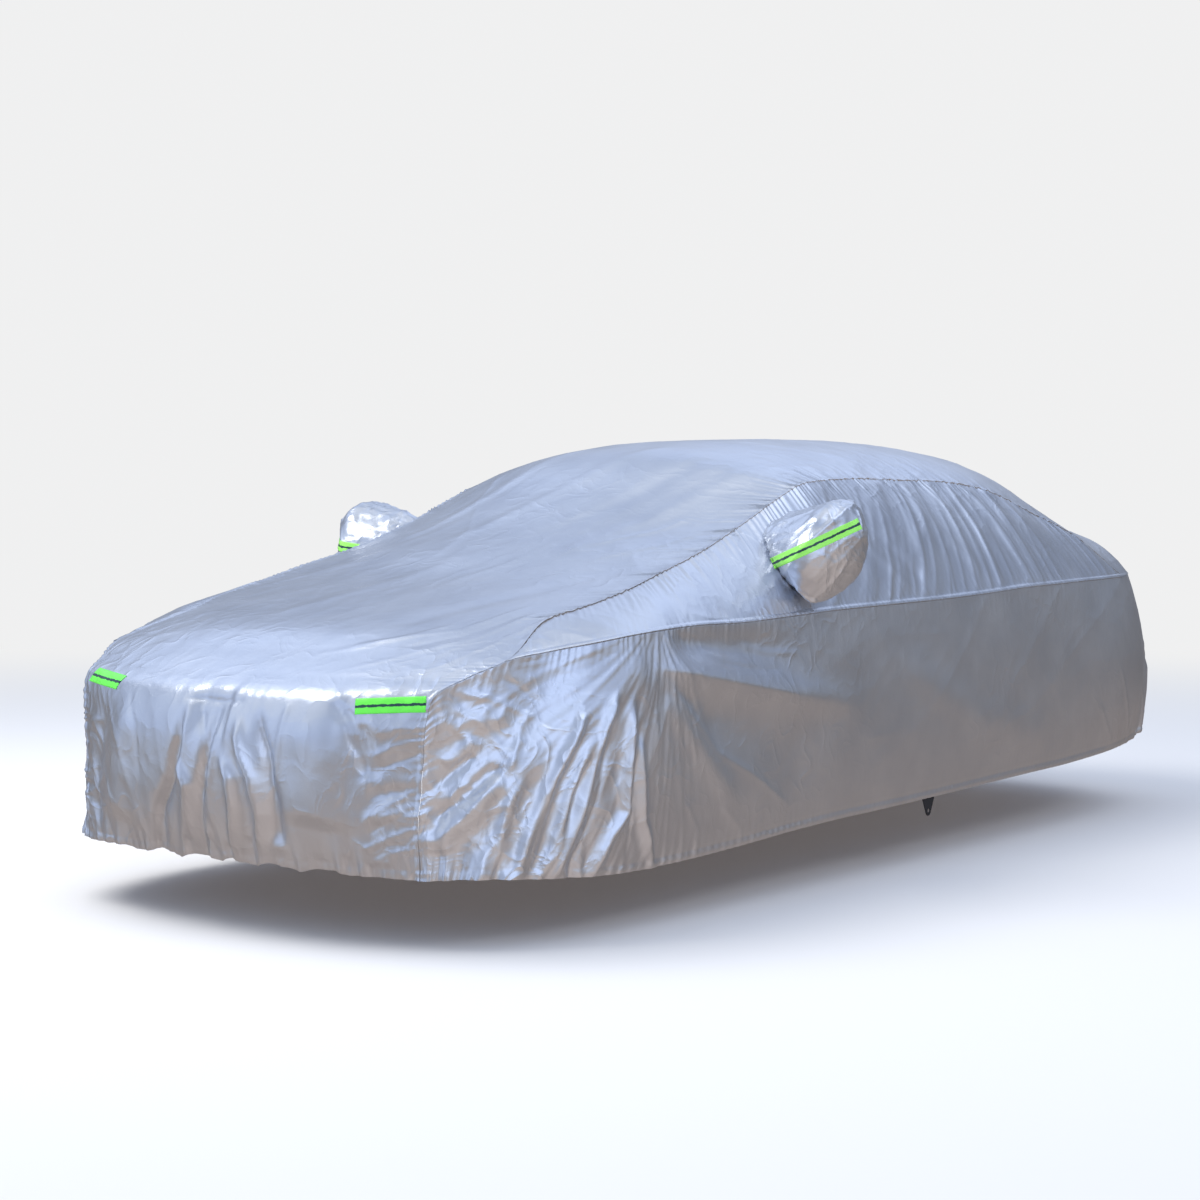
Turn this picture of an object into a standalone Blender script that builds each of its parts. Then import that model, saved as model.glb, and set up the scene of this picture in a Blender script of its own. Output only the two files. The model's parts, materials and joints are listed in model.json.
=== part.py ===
"""Fitted outdoor cover: thin silver cloth panels in their draped shape, as closed sheets.

Metres, +X toward the nose, +Y to the left side, +Z up. The tables give stations along the cover in a
frame whose zero is at ground level below the middle of the flanks. ORIGIN then moves the zero to the
point that holds the cover up, under the crown of the roof.
"""
import bpy
import bmesh
import math
import numpy as np
from mathutils import Vector
from mathutils.bvhtree import BVHTree

for old in list(bpy.data.objects):
    bpy.data.objects.remove(old, do_unlink=True)

ORIGIN = np.array((-0.340, 0.0, 1.432))   # point that holds the cover up, under the crown of the roof
CLOTH = 0.0020            # thickness of the sheets
SEAM_INSET = 0.00018      # each panel stops this far from the seam line
SEAT_GAP = 0.0003         # gap under the pieces that are sewn on
STRIP_CLOTH = 0.0010      # thickness of the reflective strips
TAB_CLOTH = 0.0020        # thickness of the webbing tab
FRONT_SUB = {1: (2, 2, 3, 3, 4, 3), -1: (1, 1, 2, 2, 2, 2)}   # extra skirt columns at its first stations
BAND_ROWS = 4             # rows of the window band panel, from the belt seam to the top seam

# Fascia: from the front hem up to the junction of the seams. c is the centre line, e the corner seam,
# px and pz shape each cross row in plan and in height.
FASCIA_COLUMNS = "name rows cx cz ex ey ez px pz"
FASCIA = (
    ("front_hem", 3, 2.345, 0.193, 2.268, 0.640, 0.186, 2.6, 2.0),
    ("bumper_low", 3, 2.395, 0.330, 2.280, 0.646, 0.330, 2.6, 2.0),
    ("bumper_mid", 3, 2.418, 0.450, 2.274, 0.654, 0.466, 2.6, 2.0),
    ("fascia", 2, 2.418, 0.570, 2.268, 0.662, 0.580, 2.6, 2.0),
    ("strip_top", 2, 2.385, 0.650, 2.255, 0.674, 0.665, 2.6, 2.0),
    ("nose_edge", 2, 2.290, 0.712, 2.160, 0.715, 0.719, 2.8, 2.4),
)
CORNER = 4                        # the skirts start at this fascia station, where the seam turns back
CORNER_HEM = ((2.268, 0.640, 0.186), (2.253, 0.674, 0.187))   # hem under the stations ahead of the junction
# Side stations, from the junction of the seams to the tail. Upper lines: c is the centre line and e the
# top seam; px and pz shape each cross row in plan and in height.
UPPER_COLUMNS = "name cols cx cz ex ey ez px pz"
UPPER = (
    ("junction", 2, 2.185, 0.765, 2.070, 0.762, 0.758, 2.8, 2.6),
    ("bonnet_a", 2, 2.040, 0.830, 1.807, 0.697, 0.855, 2.6, 2.8),
    ("bonnet_b", 2, 1.870, 0.875, 1.673, 0.727, 0.889, 2.6, 3.0),
    ("bonnet_c", 2, 1.680, 0.918, 1.512, 0.735, 0.924, 2.4, 3.0),
    ("bonnet_d", 2, 1.470, 0.965, 1.305, 0.728, 0.977, 2.4, 3.0),
    ("cowl", 2, 1.260, 1.041, 1.046, 0.707, 1.042, 2.2, 3.0),
    ("screen_a", 3, 1.060, 1.115, 0.783, 0.690, 1.129, 2.0, 2.6),
    ("screen_b", 3, 0.830, 1.220, 0.598, 0.688, 1.201, 2.0, 2.5),
    ("screen_c", 2, 0.560, 1.350, 0.443, 0.684, 1.252, 2.0, 2.6),
    ("roof_a", 2, 0.280, 1.405, 0.240, 0.655, 1.270, 2.0, 2.8),
    ("roof_b", 1, -0.020, 1.427, -0.020, 0.640, 1.281, 2.0, 2.8),
    ("roof_c", 1, -0.340, 1.438, -0.320, 0.636, 1.281, 2.0, 2.8),
    ("roof_d", 1, -0.680, 1.441, -0.640, 0.642, 1.280, 2.0, 2.8),
    ("roof_e", 2, -1.010, 1.426, -0.960, 0.660, 1.250, 2.0, 2.9),
    ("back_a", 2, -1.330, 1.391, -1.240, 0.695, 1.173, 2.2, 2.9),
    ("back_b", 2, -1.650, 1.260, -1.500, 0.771, 1.077, 2.4, 2.5),
    ("rear_junction", 2, -1.900, 1.162, -1.705, 0.872, 0.927, 2.6, 3.4),
    ("boot", 2, -2.140, 1.088, -1.945, 0.790, 0.935, 2.6, 5.0),
    ("tail_edge", 2, -2.300, 1.020, -2.105, 0.690, 0.940, 2.8, 4.2),
    ("tail_seam", 0, -2.360, 0.955, -2.195, 0.575, 0.943, 3.0, 2.6),
)
# Lower lines: t is the belt seam and h the hem; b1 and b2 are how far the skirt stands out at a third
# and at two thirds of its height.
LOWER_COLUMNS = "name tx ty tz hx hy hz b1 b2"
LOWER = (
    ("junction", 2.070, 0.762, 0.758, 2.226, 0.710, 0.189, 0.004, 0.004),
    ("bonnet_a", 1.939, 0.808, 0.781, 2.160, 0.776, 0.190, 0.010, 0.008),
    ("bonnet_b", 1.828, 0.876, 0.801, 2.000, 0.852, 0.180, 0.018, 0.012),
    ("bonnet_c", 1.675, 0.914, 0.820, 1.800, 0.905, 0.170, 0.022, 0.015),
    ("bonnet_d", 1.420, 0.925, 0.836, 1.480, 0.928, 0.172, 0.022, 0.018),
    ("cowl", 1.150, 0.930, 0.838, 1.150, 0.938, 0.185, 0.020, 0.018),
    ("screen_a", 0.900, 0.932, 0.848, 0.900, 0.942, 0.197, 0.018, 0.016),
    ("screen_b", 0.660, 0.932, 0.858, 0.660, 0.944, 0.205, 0.016, 0.014),
    ("screen_c", 0.430, 0.932, 0.864, 0.430, 0.945, 0.208, 0.016, 0.012),
    ("roof_a", 0.180, 0.932, 0.870, 0.180, 0.945, 0.212, 0.016, 0.012),
    ("roof_b", -0.100, 0.932, 0.877, -0.100, 0.945, 0.218, 0.016, 0.012),
    ("roof_c", -0.400, 0.931, 0.888, -0.400, 0.945, 0.225, 0.016, 0.012),
    ("roof_d", -0.720, 0.929, 0.903, -0.720, 0.944, 0.232, 0.016, 0.012),
    ("roof_e", -1.020, 0.923, 0.911, -1.020, 0.938, 0.236, 0.018, 0.014),
    ("back_a", -1.290, 0.914, 0.918, -1.290, 0.930, 0.245, 0.022, 0.020),
    ("back_b", -1.530, 0.900, 0.923, -1.530, 0.918, 0.255, 0.028, 0.026),
    ("rear_junction", -1.705, 0.872, 0.927, -1.740, 0.893, 0.268, 0.030, 0.026),
    ("boot", -1.945, 0.790, 0.935, -1.975, 0.832, 0.290, 0.030, 0.026),
    ("tail_edge", -2.105, 0.690, 0.940, -2.140, 0.742, 0.320, 0.030, 0.024),
    ("tail_seam", -2.195, 0.575, 0.943, -2.235, 0.635, 0.340, 0.028, 0.022),
)
TAIL_HEM = (-2.365, 0.362)        # x and z of the hem at the middle of the back
# Main folds. Side folds are (x, z) on the flank and fade off the fascia; front folds are (y, z) on the
# fascia; top folds are (x, y) on the top. A positive height stands out, a negative one is a trough.
FOLD_COLUMNS = "zone height width_start width_end points"
FOLDS = (
    ("side", 0.026, 0.055, 0.075, ((2.26, 0.33), (2.13, 0.44), (1.91, 0.58), (1.73, 0.70), (1.60, 0.74))),
    ("side", 0.024, 0.060, 0.045, ((1.66, 0.735), (1.22, 0.665), (0.90, 0.61), (0.42, 0.55))),
    ("side", -0.014, 0.045, 0.050, ((1.56, 0.79), (1.23, 0.765), (0.80, 0.75))),
    ("side", -0.020, 0.070, 0.130, ((1.44, 0.60), (1.14, 0.50), (0.70, 0.34))),
    ("side", 0.010, 0.040, 0.050, ((1.60, 0.66), (1.46, 0.52), (1.30, 0.36), (1.16, 0.16))),
    ("side", 0.017, 0.016, 0.018, ((1.78, 0.68), (1.84, 0.58), (1.90, 0.42), (1.95, 0.28), (2.02, 0.12))),
    ("side", 0.018, 0.018, 0.022, ((1.73, 0.66), (1.76, 0.48), (1.77, 0.34), (1.82, 0.27), (1.90, 0.12))),
    ("side", 0.011, 0.018, 0.020, ((1.72, 0.56), (1.70, 0.42), (1.69, 0.31), (1.60, 0.12))),
    ("side", 0.015, 0.014, 0.017, ((1.86, 0.58), (1.95, 0.41), (1.99, 0.27), (2.05, 0.12))),
    ("side", 0.015, 0.014, 0.018, ((1.88, 0.64), (1.94, 0.54), (1.99, 0.45), (2.04, 0.34), (2.12, 0.12))),
    ("side", 0.016, 0.016, 0.020, ((2.06, 0.46), (2.09, 0.39), (2.13, 0.30), (2.20, 0.12))),
    ("side", 0.020, 0.020, 0.030, ((2.10, 0.46), (2.18, 0.36), (2.27, 0.27))),
    ("side", -0.016, 0.013, 0.016, ((2.10, 0.49), (2.19, 0.40), (2.26, 0.34))),
    ("side", 0.013, 0.018, 0.020, ((2.15, 0.56), (2.23, 0.49))),
    ("side", -0.013, 0.012, 0.014, ((2.16, 0.52), (2.25, 0.43))),
    ("side", 0.008, 0.015, 0.018, ((2.02, 0.63), (2.09, 0.47))),
    ("side", -0.010, 0.030, 0.040, ((-1.95, 0.66), (-1.84, 0.18))),
    ("side", 0.010, 0.025, 0.035, ((-2.02, 0.60), (-1.96, 0.20))),
    ("side", 0.006, 0.060, 0.080, ((0.30, 0.70), (-0.30, 0.46), (-0.90, 0.34))),
    ("side", 0.010, 0.030, 0.030, ((0.36, 1.16), (0.10, 0.90))),
    ("side", -0.010, 0.030, 0.030, ((0.26, 1.18), (-0.02, 0.92))),
    ("side", 0.008, 0.035, 0.035, ((-0.22, 1.20), (-0.46, 0.96))),
    ("side", -0.008, 0.040, 0.040, ((-0.56, 1.22), (-0.86, 0.96))),
    ("side", 0.008, 0.035, 0.035, ((-0.84, 1.20), (-1.22, 0.96))),
    ("front", -0.013, 0.016, 0.022, ((-0.10, 0.64), (-0.11, 0.53), (-0.15, 0.41), (-0.22, 0.32), (-0.29, 0.12))),
    ("front", 0.013, 0.018, 0.020, ((-0.13, 0.50), (-0.08, 0.40), (-0.13, 0.26), (-0.16, 0.12))),
    ("front", -0.012, 0.014, 0.014, ((0.01, 0.64), (0.01, 0.55), (-0.02, 0.44), (-0.06, 0.30), (-0.09, 0.12))),
    ("front", 0.015, 0.020, 0.024, ((0.05, 0.52), (0.09, 0.43), (0.09, 0.34), (0.03, 0.12))),
    ("front", 0.016, 0.020, 0.026, ((0.10, 0.62), (0.14, 0.52), (0.18, 0.42), (0.19, 0.34), (0.14, 0.12))),
    ("front", -0.012, 0.018, 0.022, ((0.17, 0.62), (0.22, 0.50), (0.24, 0.38), (0.22, 0.24))),
    ("front", 0.014, 0.070, 0.090, ((0.33, 0.67), (0.38, 0.50), (0.36, 0.30))),
    ("front", -0.012, 0.020, 0.024, ((0.42, 0.68), (0.50, 0.58), (0.53, 0.44))),
    ("front", -0.016, 0.075, 0.060, ((-0.09, 0.600), (0.08, 0.600))),
    ("front", 0.012, 0.050, 0.070, ((-0.33, 0.66), (-0.40, 0.46), (-0.44, 0.26))),
    ("front", -0.008, 0.030, 0.040, ((-0.46, 0.64), (-0.54, 0.44), (-0.58, 0.24))),
    ("front", -0.012, 0.016, 0.018, ((0.52, 0.40), (0.58, 0.42), (0.68, 0.42))),
    ("front", 0.012, 0.018, 0.020, ((0.50, 0.34), (0.58, 0.36), (0.68, 0.36))),
    ("top", 0.010, 0.035, 0.040, ((1.30, 0.30), (0.90, 0.42), (0.45, 0.55))),
    ("top", -0.008, 0.035, 0.040, ((1.20, 0.10), (0.80, 0.28), (0.40, 0.40))),
    ("top", 0.008, 0.035, 0.040, ((1.22, -0.22), (0.80, -0.02), (0.36, 0.16))),
    ("top", 0.008, 0.035, 0.040, ((1.16, -0.50), (0.74, -0.34), (0.34, -0.20))),
    ("top", -0.007, 0.040, 0.050, ((2.05, 0.30), (1.60, 0.48), (1.20, 0.60))),
    ("top", 0.007, 0.040, 0.050, ((2.00, -0.20), (1.60, -0.10), (1.25, 0.00))),
    ("top", 0.008, 0.050, 0.050, ((-0.05, 0.52), (-0.35, 0.44), (-0.60, 0.30))),
    ("top", -0.006, 0.060, 0.060, ((-1.15, 0.50), (-1.50, 0.25), (-1.80, 0.10))),
)
RIGHT_SIDE = dict(shift=0.045, lift=-0.012, scale=0.55)   # the far flank has the same folds, a little moved

# Gathers along the elastic hem: waves round the front and the back corners, uneven in pitch.
GATHER_HEIGHT = 0.007
GATHER_REACH = 0.075
GATHER_PITCH = 0.094

# Mirror pocket: sections from the sewn rim (t = 0) to the closed end, as offsets from the rim centre.
POCKET_CENTRE = (0.742, 0.845, 1.027)
POCKET_COLUMNS = "dx dy dz rx rz lean"
POCKET = (
    (-0.030, 0.000, -0.010, 0.106, 0.108, 0.36),
    (-0.024, 0.038, 0.003, 0.124, 0.132, 0.36),
    (-0.018, 0.080, 0.017, 0.142, 0.154, 0.36),
    (-0.026, 0.122, 0.028, 0.140, 0.153, 0.24),
    (-0.040, 0.158, 0.035, 0.116, 0.127, 0.10),
    (-0.053, 0.186, 0.038, 0.076, 0.088, 0.00),
    (-0.060, 0.201, 0.037, 0.036, 0.044, 0.00),
    (-0.063, 0.206, 0.036, 0.000, 0.000, 0.00),
)
POCKET_AROUND = 18
POCKET_HOLE_MARGIN = 0.012      # the hole in the band panel is this much inside the rim
POCKET_ROOT = 0.012             # how far the walls start inside the flank, before they are trimmed to it

# Reflective strips, by their ends on the cloth and their widths.
STRIP_FRONT = dict(
    left=((0.478, 0.640), (0.660, 0.651)),
    right=((0.412, 0.662), (0.650, 0.674)),
    width=0.042,
)
STRIP_MIRROR = dict(
    left=((0.915, 0.870, 1.003), (0.655, 1.025, 1.128)),
    right=((0.895, 0.875, 1.026), (0.655, 1.030, 1.074)),
    width=0.036,
)
TAB = dict(x=0.036, top_width=0.086, low_width=0.034, drop=0.062, lap=0.022, hole=0.0065, round_steps=16)


def table(columns, rows):
    """The rows as one array for each named column."""
    return {c: np.array([r[i] for r in rows]) for i, c in enumerate(columns.split())}


fascia = table(FASCIA_COLUMNS, FASCIA)
side = {**table(UPPER_COLUMNS, UPPER), **table(LOWER_COLUMNS, LOWER)}
NA = len(FASCIA)
NS = len(UPPER)
LEAD = NA - CORNER                # skirt stations ahead of the junction
REAR_JUNCTION = list(side["name"]).index("rear_junction")
LINE_C = np.concatenate([
    np.stack([fascia["cx"], 0 * fascia["cx"], fascia["cz"]], 1),
    np.stack([side["cx"], 0 * side["cx"], side["cz"]], 1),
])
LINE_E = np.concatenate([
    np.stack([fascia["ex"], fascia["ey"], fascia["ez"]], 1),
    np.stack([side["ex"], side["ey"], side["ez"]], 1),
])
POWERS = np.concatenate([
    np.stack([fascia["px"], fascia["pz"]], 1),
    np.stack([side["px"], side["pz"]], 1),
])
LINE_T = np.concatenate([LINE_E[CORNER:NA], np.stack([side["tx"], side["ty"], side["tz"]], 1)])
LINE_H = np.concatenate([CORNER_HEM, np.stack([side["hx"], side["hy"], side["hz"]], 1)])
BULGE = np.concatenate([np.zeros((LEAD, 2)), np.stack([side["b1"], side["b2"]], 1)])


def chord(points):
    return np.concatenate([[0], np.cumsum(np.linalg.norm(np.diff(points, axis=0), axis=1))])


def spline(knots, values, t):
    """Cubic curve through the rows of values, with slopes from the rows on each side."""
    h = np.diff(knots)[:, None]
    d = np.diff(values, axis=0) / h
    m = np.empty_like(values)
    m[1:-1] = (d[:-1] * h[1:] + d[1:] * h[:-1]) / (h[1:] + h[:-1])
    m[0] = 1.5 * d[0] - 0.5 * m[1]
    m[-1] = 1.5 * d[-1] - 0.5 * m[-2]
    k = np.clip(np.searchsorted(knots, t, side="right") - 1, 0, len(knots) - 2)
    hk = h[k][..., 0, None]
    s = ((t - knots[k])[..., None]) / hk
    first = (2 * s**3 - 3 * s**2 + 1) * values[k] + (s**3 - 2 * s**2 + s) * hk * m[k]
    return first + (-2 * s**3 + 3 * s**2) * values[k + 1] + (s**3 - s**2) * hk * m[k + 1]


KNOTS_U = (chord(LINE_C) + chord(LINE_E)) / 2
KNOTS_S = (chord(LINE_T) + chord(LINE_H)) / 2


def along(knots, values, index):
    """A line at fractional station numbers."""
    index = np.asarray(index, float)
    return spline(knots, values, np.interp(index, np.arange(len(knots)), knots))


def smooth(x):
    x = np.clip(x, 0.0, 1.0)
    return x * x * (3 - 2 * x)


def top_edge(u):
    """Edge of the centre panel: corner seam, top seam, and past the rear junction the belt seam itself."""
    u = np.asarray(u, float)
    ahead = along(KNOTS_U, LINE_E, u)
    behind = along(KNOTS_S, LINE_T, np.clip(u - CORNER, 0, LEAD + NS - 1))
    return np.where((u >= NA + REAR_JUNCTION)[..., None], behind, ahead)


def centre_panel(u, v):
    """u is the fractional station from the front hem, v runs from -1 on the right seam to 1 on the left."""
    c = along(KNOTS_U, LINE_C, u)
    e = top_edge(u)
    power = along(KNOTS_U, POWERS, u)
    p = np.abs(v)
    x = c[..., 0] + (e[..., 0] - c[..., 0]) * p ** power[..., 0]
    z = c[..., 2] + (e[..., 2] - c[..., 2]) * p ** power[..., 1]
    return np.stack([x, e[..., 1] * v, z], -1)


def outward(points):
    """Level direction away from the middle, square to a line that runs from the nose to the tail."""
    t = np.gradient(points, axis=0)
    n = np.stack([t[:, 1], -t[:, 0], 0 * t[:, 0]], 1)
    return n / np.linalg.norm(n, axis=1)[:, None]


def skirt_lines(s, tail_v):
    """Belt line, hem line, outward direction and bulges of the left skirt at its columns.

    s holds fractional stations from CORNER on; tail_v holds the cross positions from the rear corner to
    the middle of the back, where the belt line is the last row of the centre panel.
    """
    belt = np.where((s < LEAD)[:, None], top_edge(CORNER + s), along(KNOTS_S, LINE_T, s))
    hem = along(KNOTS_S, LINE_H, s)
    bulge = along(KNOTS_S, BULGE, s)
    back = centre_panel(np.full(len(tail_v), float(NA + NS - 1)), tail_v)
    corner = LINE_H[-1]
    power = POWERS[-1]
    hem_back = np.stack([
        TAIL_HEM[0] + (corner[0] - TAIL_HEM[0]) * tail_v ** power[0],
        corner[1] * tail_v,
        TAIL_HEM[1] + (corner[2] - TAIL_HEM[1]) * tail_v ** 2,
    ], 1)
    bulge_back = np.repeat(BULGE[-1:], len(tail_v), axis=0)
    belt = np.concatenate([belt, back])
    hem = np.concatenate([hem, hem_back])
    bulge = np.concatenate([bulge, bulge_back])
    out = outward((belt + hem) / 2)
    out[-1] = (-1.0, 0.0, 0.0)
    return belt, hem, out, bulge


def skirt(s, tail_v, j):
    """Left skirt on a grid: columns from the corner seam to the middle of the back, rows j of the fascia."""
    belt, hem, out, bulge = skirt_lines(s, tail_v)
    seam = along(KNOTS_U, LINE_E, j)
    b = (seam[:, 2] - seam[0, 2]) / (LINE_E[CORNER, 2] - seam[0, 2])
    rise = belt[:, None] - hem[:, None]
    grid = hem[:, None] + rise * b[None, :, None]
    low = 6.75 * b * (1 - b) ** 2
    high = 6.75 * b * b * (1 - b)
    stand = bulge[:, :1] * low[None] + bulge[:, 1:] * high[None]
    grid = grid + out[:, None] * stand[..., None]
    gone = chord((belt + hem) / 2)
    fade = (1 - smooth(gone / 0.30))[:, None, None]
    straight = hem[:1] + (belt[:1] - hem[:1]) * b[:, None]
    return grid + fade * (seam - straight)[None]


def band(s, q):
    """Left window band panel: columns along the side stations, rows q from the belt seam to the top seam."""
    belt = along(KNOTS_S, LINE_T, LEAD + np.asarray(s))
    top = top_edge(NA + np.asarray(s))
    across = top - belt
    width = np.linalg.norm(across, axis=1)
    n = np.cross(np.gradient(belt, axis=0), across)
    n = n / np.maximum(np.linalg.norm(n, axis=1), 1e-9)[:, None]
    stand = 0.045 * width[:, None] * 4 * q[None] * (1 - q[None])
    return belt[:, None] + across[:, None] * q[None, :, None] + n[:, None] * stand[..., None]


def lift_direction(p):
    """Which way a fold stands out, from the position alone, so that panels move together at a seam."""
    x = p[..., 0]
    y = p[..., 1]
    z = p[..., 2]
    fore = smooth((x - 1.85) / 0.55) - smooth((-x - 1.95) / 0.45)
    flank = np.sign(y) * np.clip(np.abs(y) / 0.92, 0, 1) ** 4
    belt = np.interp(x, (-2.3, -1.0, 1.0, 2.1), (0.93, 0.91, 0.84, 0.76))
    depth = np.interp(x, (-2.3, -1.4, -0.6, 0.8, 1.6), (0.08, 0.30, 0.42, 0.30, 0.08))
    top = smooth((z - belt) / depth) * 1.2
    n = np.stack([fore * (1 - 0.6 * np.clip(top, 0, 1)), flank, top], -1)
    return n / np.maximum(np.linalg.norm(n, axis=-1), 1e-6)[..., None]


def line_distance(a, b, points):
    """Distance from each (a, b) to a broken line, and how far along it the nearest place is, 0 to 1."""
    best = np.full(a.shape, 1e9)
    share = np.zeros(a.shape)
    points = np.array(points, float)
    lengths = np.linalg.norm(np.diff(points, axis=0), axis=1)
    total = lengths.sum()
    gone = 0.0
    for first, last, length in zip(points[:-1], points[1:], lengths):
        step = last - first
        t = np.clip(((a - first[0]) * step[0] + (b - first[1]) * step[1]) / length**2, 0, 1)
        d = np.hypot(a - first[0] - t * step[0], b - first[1] - t * step[1])
        share = np.where(d < best, (gone + t * length) / total, share)
        best = np.minimum(best, d)
        gone += length
    return best, share


def fold_height(p):
    """Sum of the main folds and the hem gathers at each point of the smooth cover."""
    x = p[..., 0]
    y = p[..., 1]
    z = p[..., 2]
    height = np.zeros(x.shape)
    on_front = smooth((x - 2.02) / 0.20)
    on_flank = smooth((np.abs(y) - 0.55) / 0.16)
    belt = np.interp(x, (-2.3, -1.0, 1.0, 2.1), (0.93, 0.91, 0.84, 0.76))
    on_top = smooth((z - belt + 0.02) / 0.05)
    for zone, tall, wide_a, wide_b, points in FOLDS:
        if zone == "side":
            for sign in (1, -1):
                a = x if sign > 0 else x - RIGHT_SIDE["shift"]
                b = z if sign > 0 else z - RIGHT_SIDE["lift"]
                scale = 1 if sign > 0 else RIGHT_SIDE["scale"]
                d, t = line_distance(a, b, points)
                wide = wide_a + (wide_b - wide_a) * t
                ends = smooth(t / 0.14) * smooth((1 - t) / 0.14)
                mask = on_flank * (np.sign(y) == sign)
                height += scale * tall * ends * mask * np.exp(-((d / wide) ** 2))
            continue
        first, second = (y, z) if zone == "front" else (x, y)
        mask = on_front * (1 - on_top) if zone == "front" else on_top
        d, t = line_distance(first, second, points)
        wide = wide_a + (wide_b - wide_a) * t
        ends = smooth(t / 0.14) * smooth((1 - t) / 0.14)
        height += tall * ends * mask * np.exp(-((d / wide) ** 2))
    return height + gather_height(x, y, z)


def gather_height(x, y, z):
    """Small waves where the elastic pulls the hem in, at the front and the back corners."""
    round_front = smooth((x - 1.75) / 0.25)
    round_back = smooth((-x - 1.55) / 0.30)
    low = np.interp(x, (-2.3, -1.5, 1.6, 2.3), (0.36, 0.25, 0.17, 0.21))
    near_hem = np.exp(-np.clip(z - low, 0, 1) / GATHER_REACH)
    way = y + 0.9 * np.sign(y) * np.clip(2.3 - np.abs(x), 0, 1)
    phase = 2 * np.pi * way / GATHER_PITCH
    wave = np.sin(phase + 1.3 * np.sin(0.37 * phase + 0.8)) * (0.75 + 0.35 * np.sin(0.23 * phase + 2.0))
    return GATHER_HEIGHT * wave * near_hem * (round_front + round_back)


def draped(p):
    return p + lift_direction(p) * fold_height(p)[..., None]


def spaced(counts):
    """Fractional station numbers with that many cells between neighbouring stations."""
    parts = [i + np.arange(n) / n for i, n in enumerate(counts) if n]
    return np.concatenate(parts + [[len([n for n in counts if n])]])


def cross_positions():
    """v of the columns of the centre panel: close over the middle and the near corner, wider between."""
    knots = (0.0, 0.50, 0.80, 1.0)
    counts = (8, 5, 3)
    half = np.concatenate([np.linspace(a, b, n, endpoint=False) for a, b, n in zip(knots, knots[1:], counts)])
    half = np.append(half, 1.0)
    return np.concatenate([-half[:0:-1], half])


class Sheet:
    """A grid of points that becomes one closed cloth, with the seams it shares marked."""

    def __init__(self, points, flip=False):
        self.points = points
        self.flip = flip
        self.normals = None
        self.inset = np.zeros_like(points)
        self.keep = np.ones(points.shape[:2], bool)

    def faces(self):
        rows, cols = self.points.shape[:2]
        index = np.arange(rows * cols).reshape(rows, cols)
        quads = np.stack([index[:-1, :-1], index[1:, :-1], index[1:, 1:], index[:-1, 1:]], -1).reshape(-1, 4)
        return quads[:, ::-1] if self.flip else quads


def key_of(point):
    return tuple(np.round(point, 6))


def share_normals(sheets):
    """Vertex normals summed over every panel that meets at a point."""
    total = {}
    for sheet in sheets:
        flat = sheet.points.reshape(-1, 3)
        for quad in sheet.faces():
            a, b, c, d = flat[quad]
            n = np.cross(c - a, d - b)
            for corner in (a, b, c, d):
                k = key_of(corner)
                total[k] = total.get(k, 0) + n
    for sheet in sheets:
        flat = sheet.points.reshape(-1, 3)
        n = np.array([total[key_of(p)] for p in flat])
        n /= np.maximum(np.linalg.norm(n, axis=1), 1e-12)[:, None]
        sheet.normals = n.reshape(sheet.points.shape)


def draw_in(sheet, edge, amount=SEAM_INSET):
    """Moves one border of the grid inwards along the cloth. edge is 'first', 'last', 'low' or 'high'."""
    points = sheet.points
    if edge in ("first", "last"):
        i = 0 if edge == "first" else -1
        j = 1 if edge == "first" else -2
        line, inner, normal, target = points[i], points[j], sheet.normals[i], sheet.inset[i]
    else:
        i = 0 if edge == "low" else -1
        j = 1 if edge == "low" else -2
        line, inner, normal, target = points[:, i], points[:, j], sheet.normals[:, i], sheet.inset[:, i]
    t = np.gradient(line, axis=0)
    square = np.cross(normal, t)
    square /= np.maximum(np.linalg.norm(square, axis=1), 1e-12)[:, None]
    side_of = np.sign(np.sum(square * (inner - line), axis=1))
    side_of = np.where(side_of == 0, np.sign(side_of.sum()), side_of)
    target += square * side_of[:, None] * amount


def solid_from(sheet, thickness):
    """Outer and inner skins joined round the border, as points and faces."""
    outer = (sheet.points + sheet.inset).reshape(-1, 3)
    inner = (sheet.points + sheet.inset - sheet.normals * thickness).reshape(-1, 3)
    rows, cols = sheet.points.shape[:2]
    count = rows * cols
    index = np.arange(count).reshape(rows, cols)
    skin = [tuple(int(i) for i in f) for f in sheet.faces()]
    back = [tuple(i + count for i in f[::-1]) for f in skin]
    loop = np.concatenate([index[0, :-1], index[:-1, -1], index[-1, :0:-1], index[:0:-1, 0]])
    rim = []
    for a, b in zip(loop, np.roll(loop, -1)):
        a = int(a)
        b = int(b)
        halves = ((a, b, b + count), (a, b + count, a + count))
        if key_of(sheet.points.reshape(-1, 3)[a]) > key_of(sheet.points.reshape(-1, 3)[b]):
            halves = ((a, b, a + count), (b, b + count, a + count))
        rim.extend(half if sheet.flip else half[::-1] for half in halves)
    return np.concatenate([outer, inner]), skin + back + rim


def material(name, colour, roughness, metallic):
    mat = bpy.data.materials.new(name)
    mat.use_nodes = True
    shader = mat.node_tree.nodes["Principled BSDF"]
    shader.inputs["Base Color"].default_value = (*colour, 1.0)
    shader.inputs["Roughness"].default_value = roughness
    shader.inputs["Metallic"].default_value = metallic
    mat.diffuse_color = (*colour, 1.0)
    return mat


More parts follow.
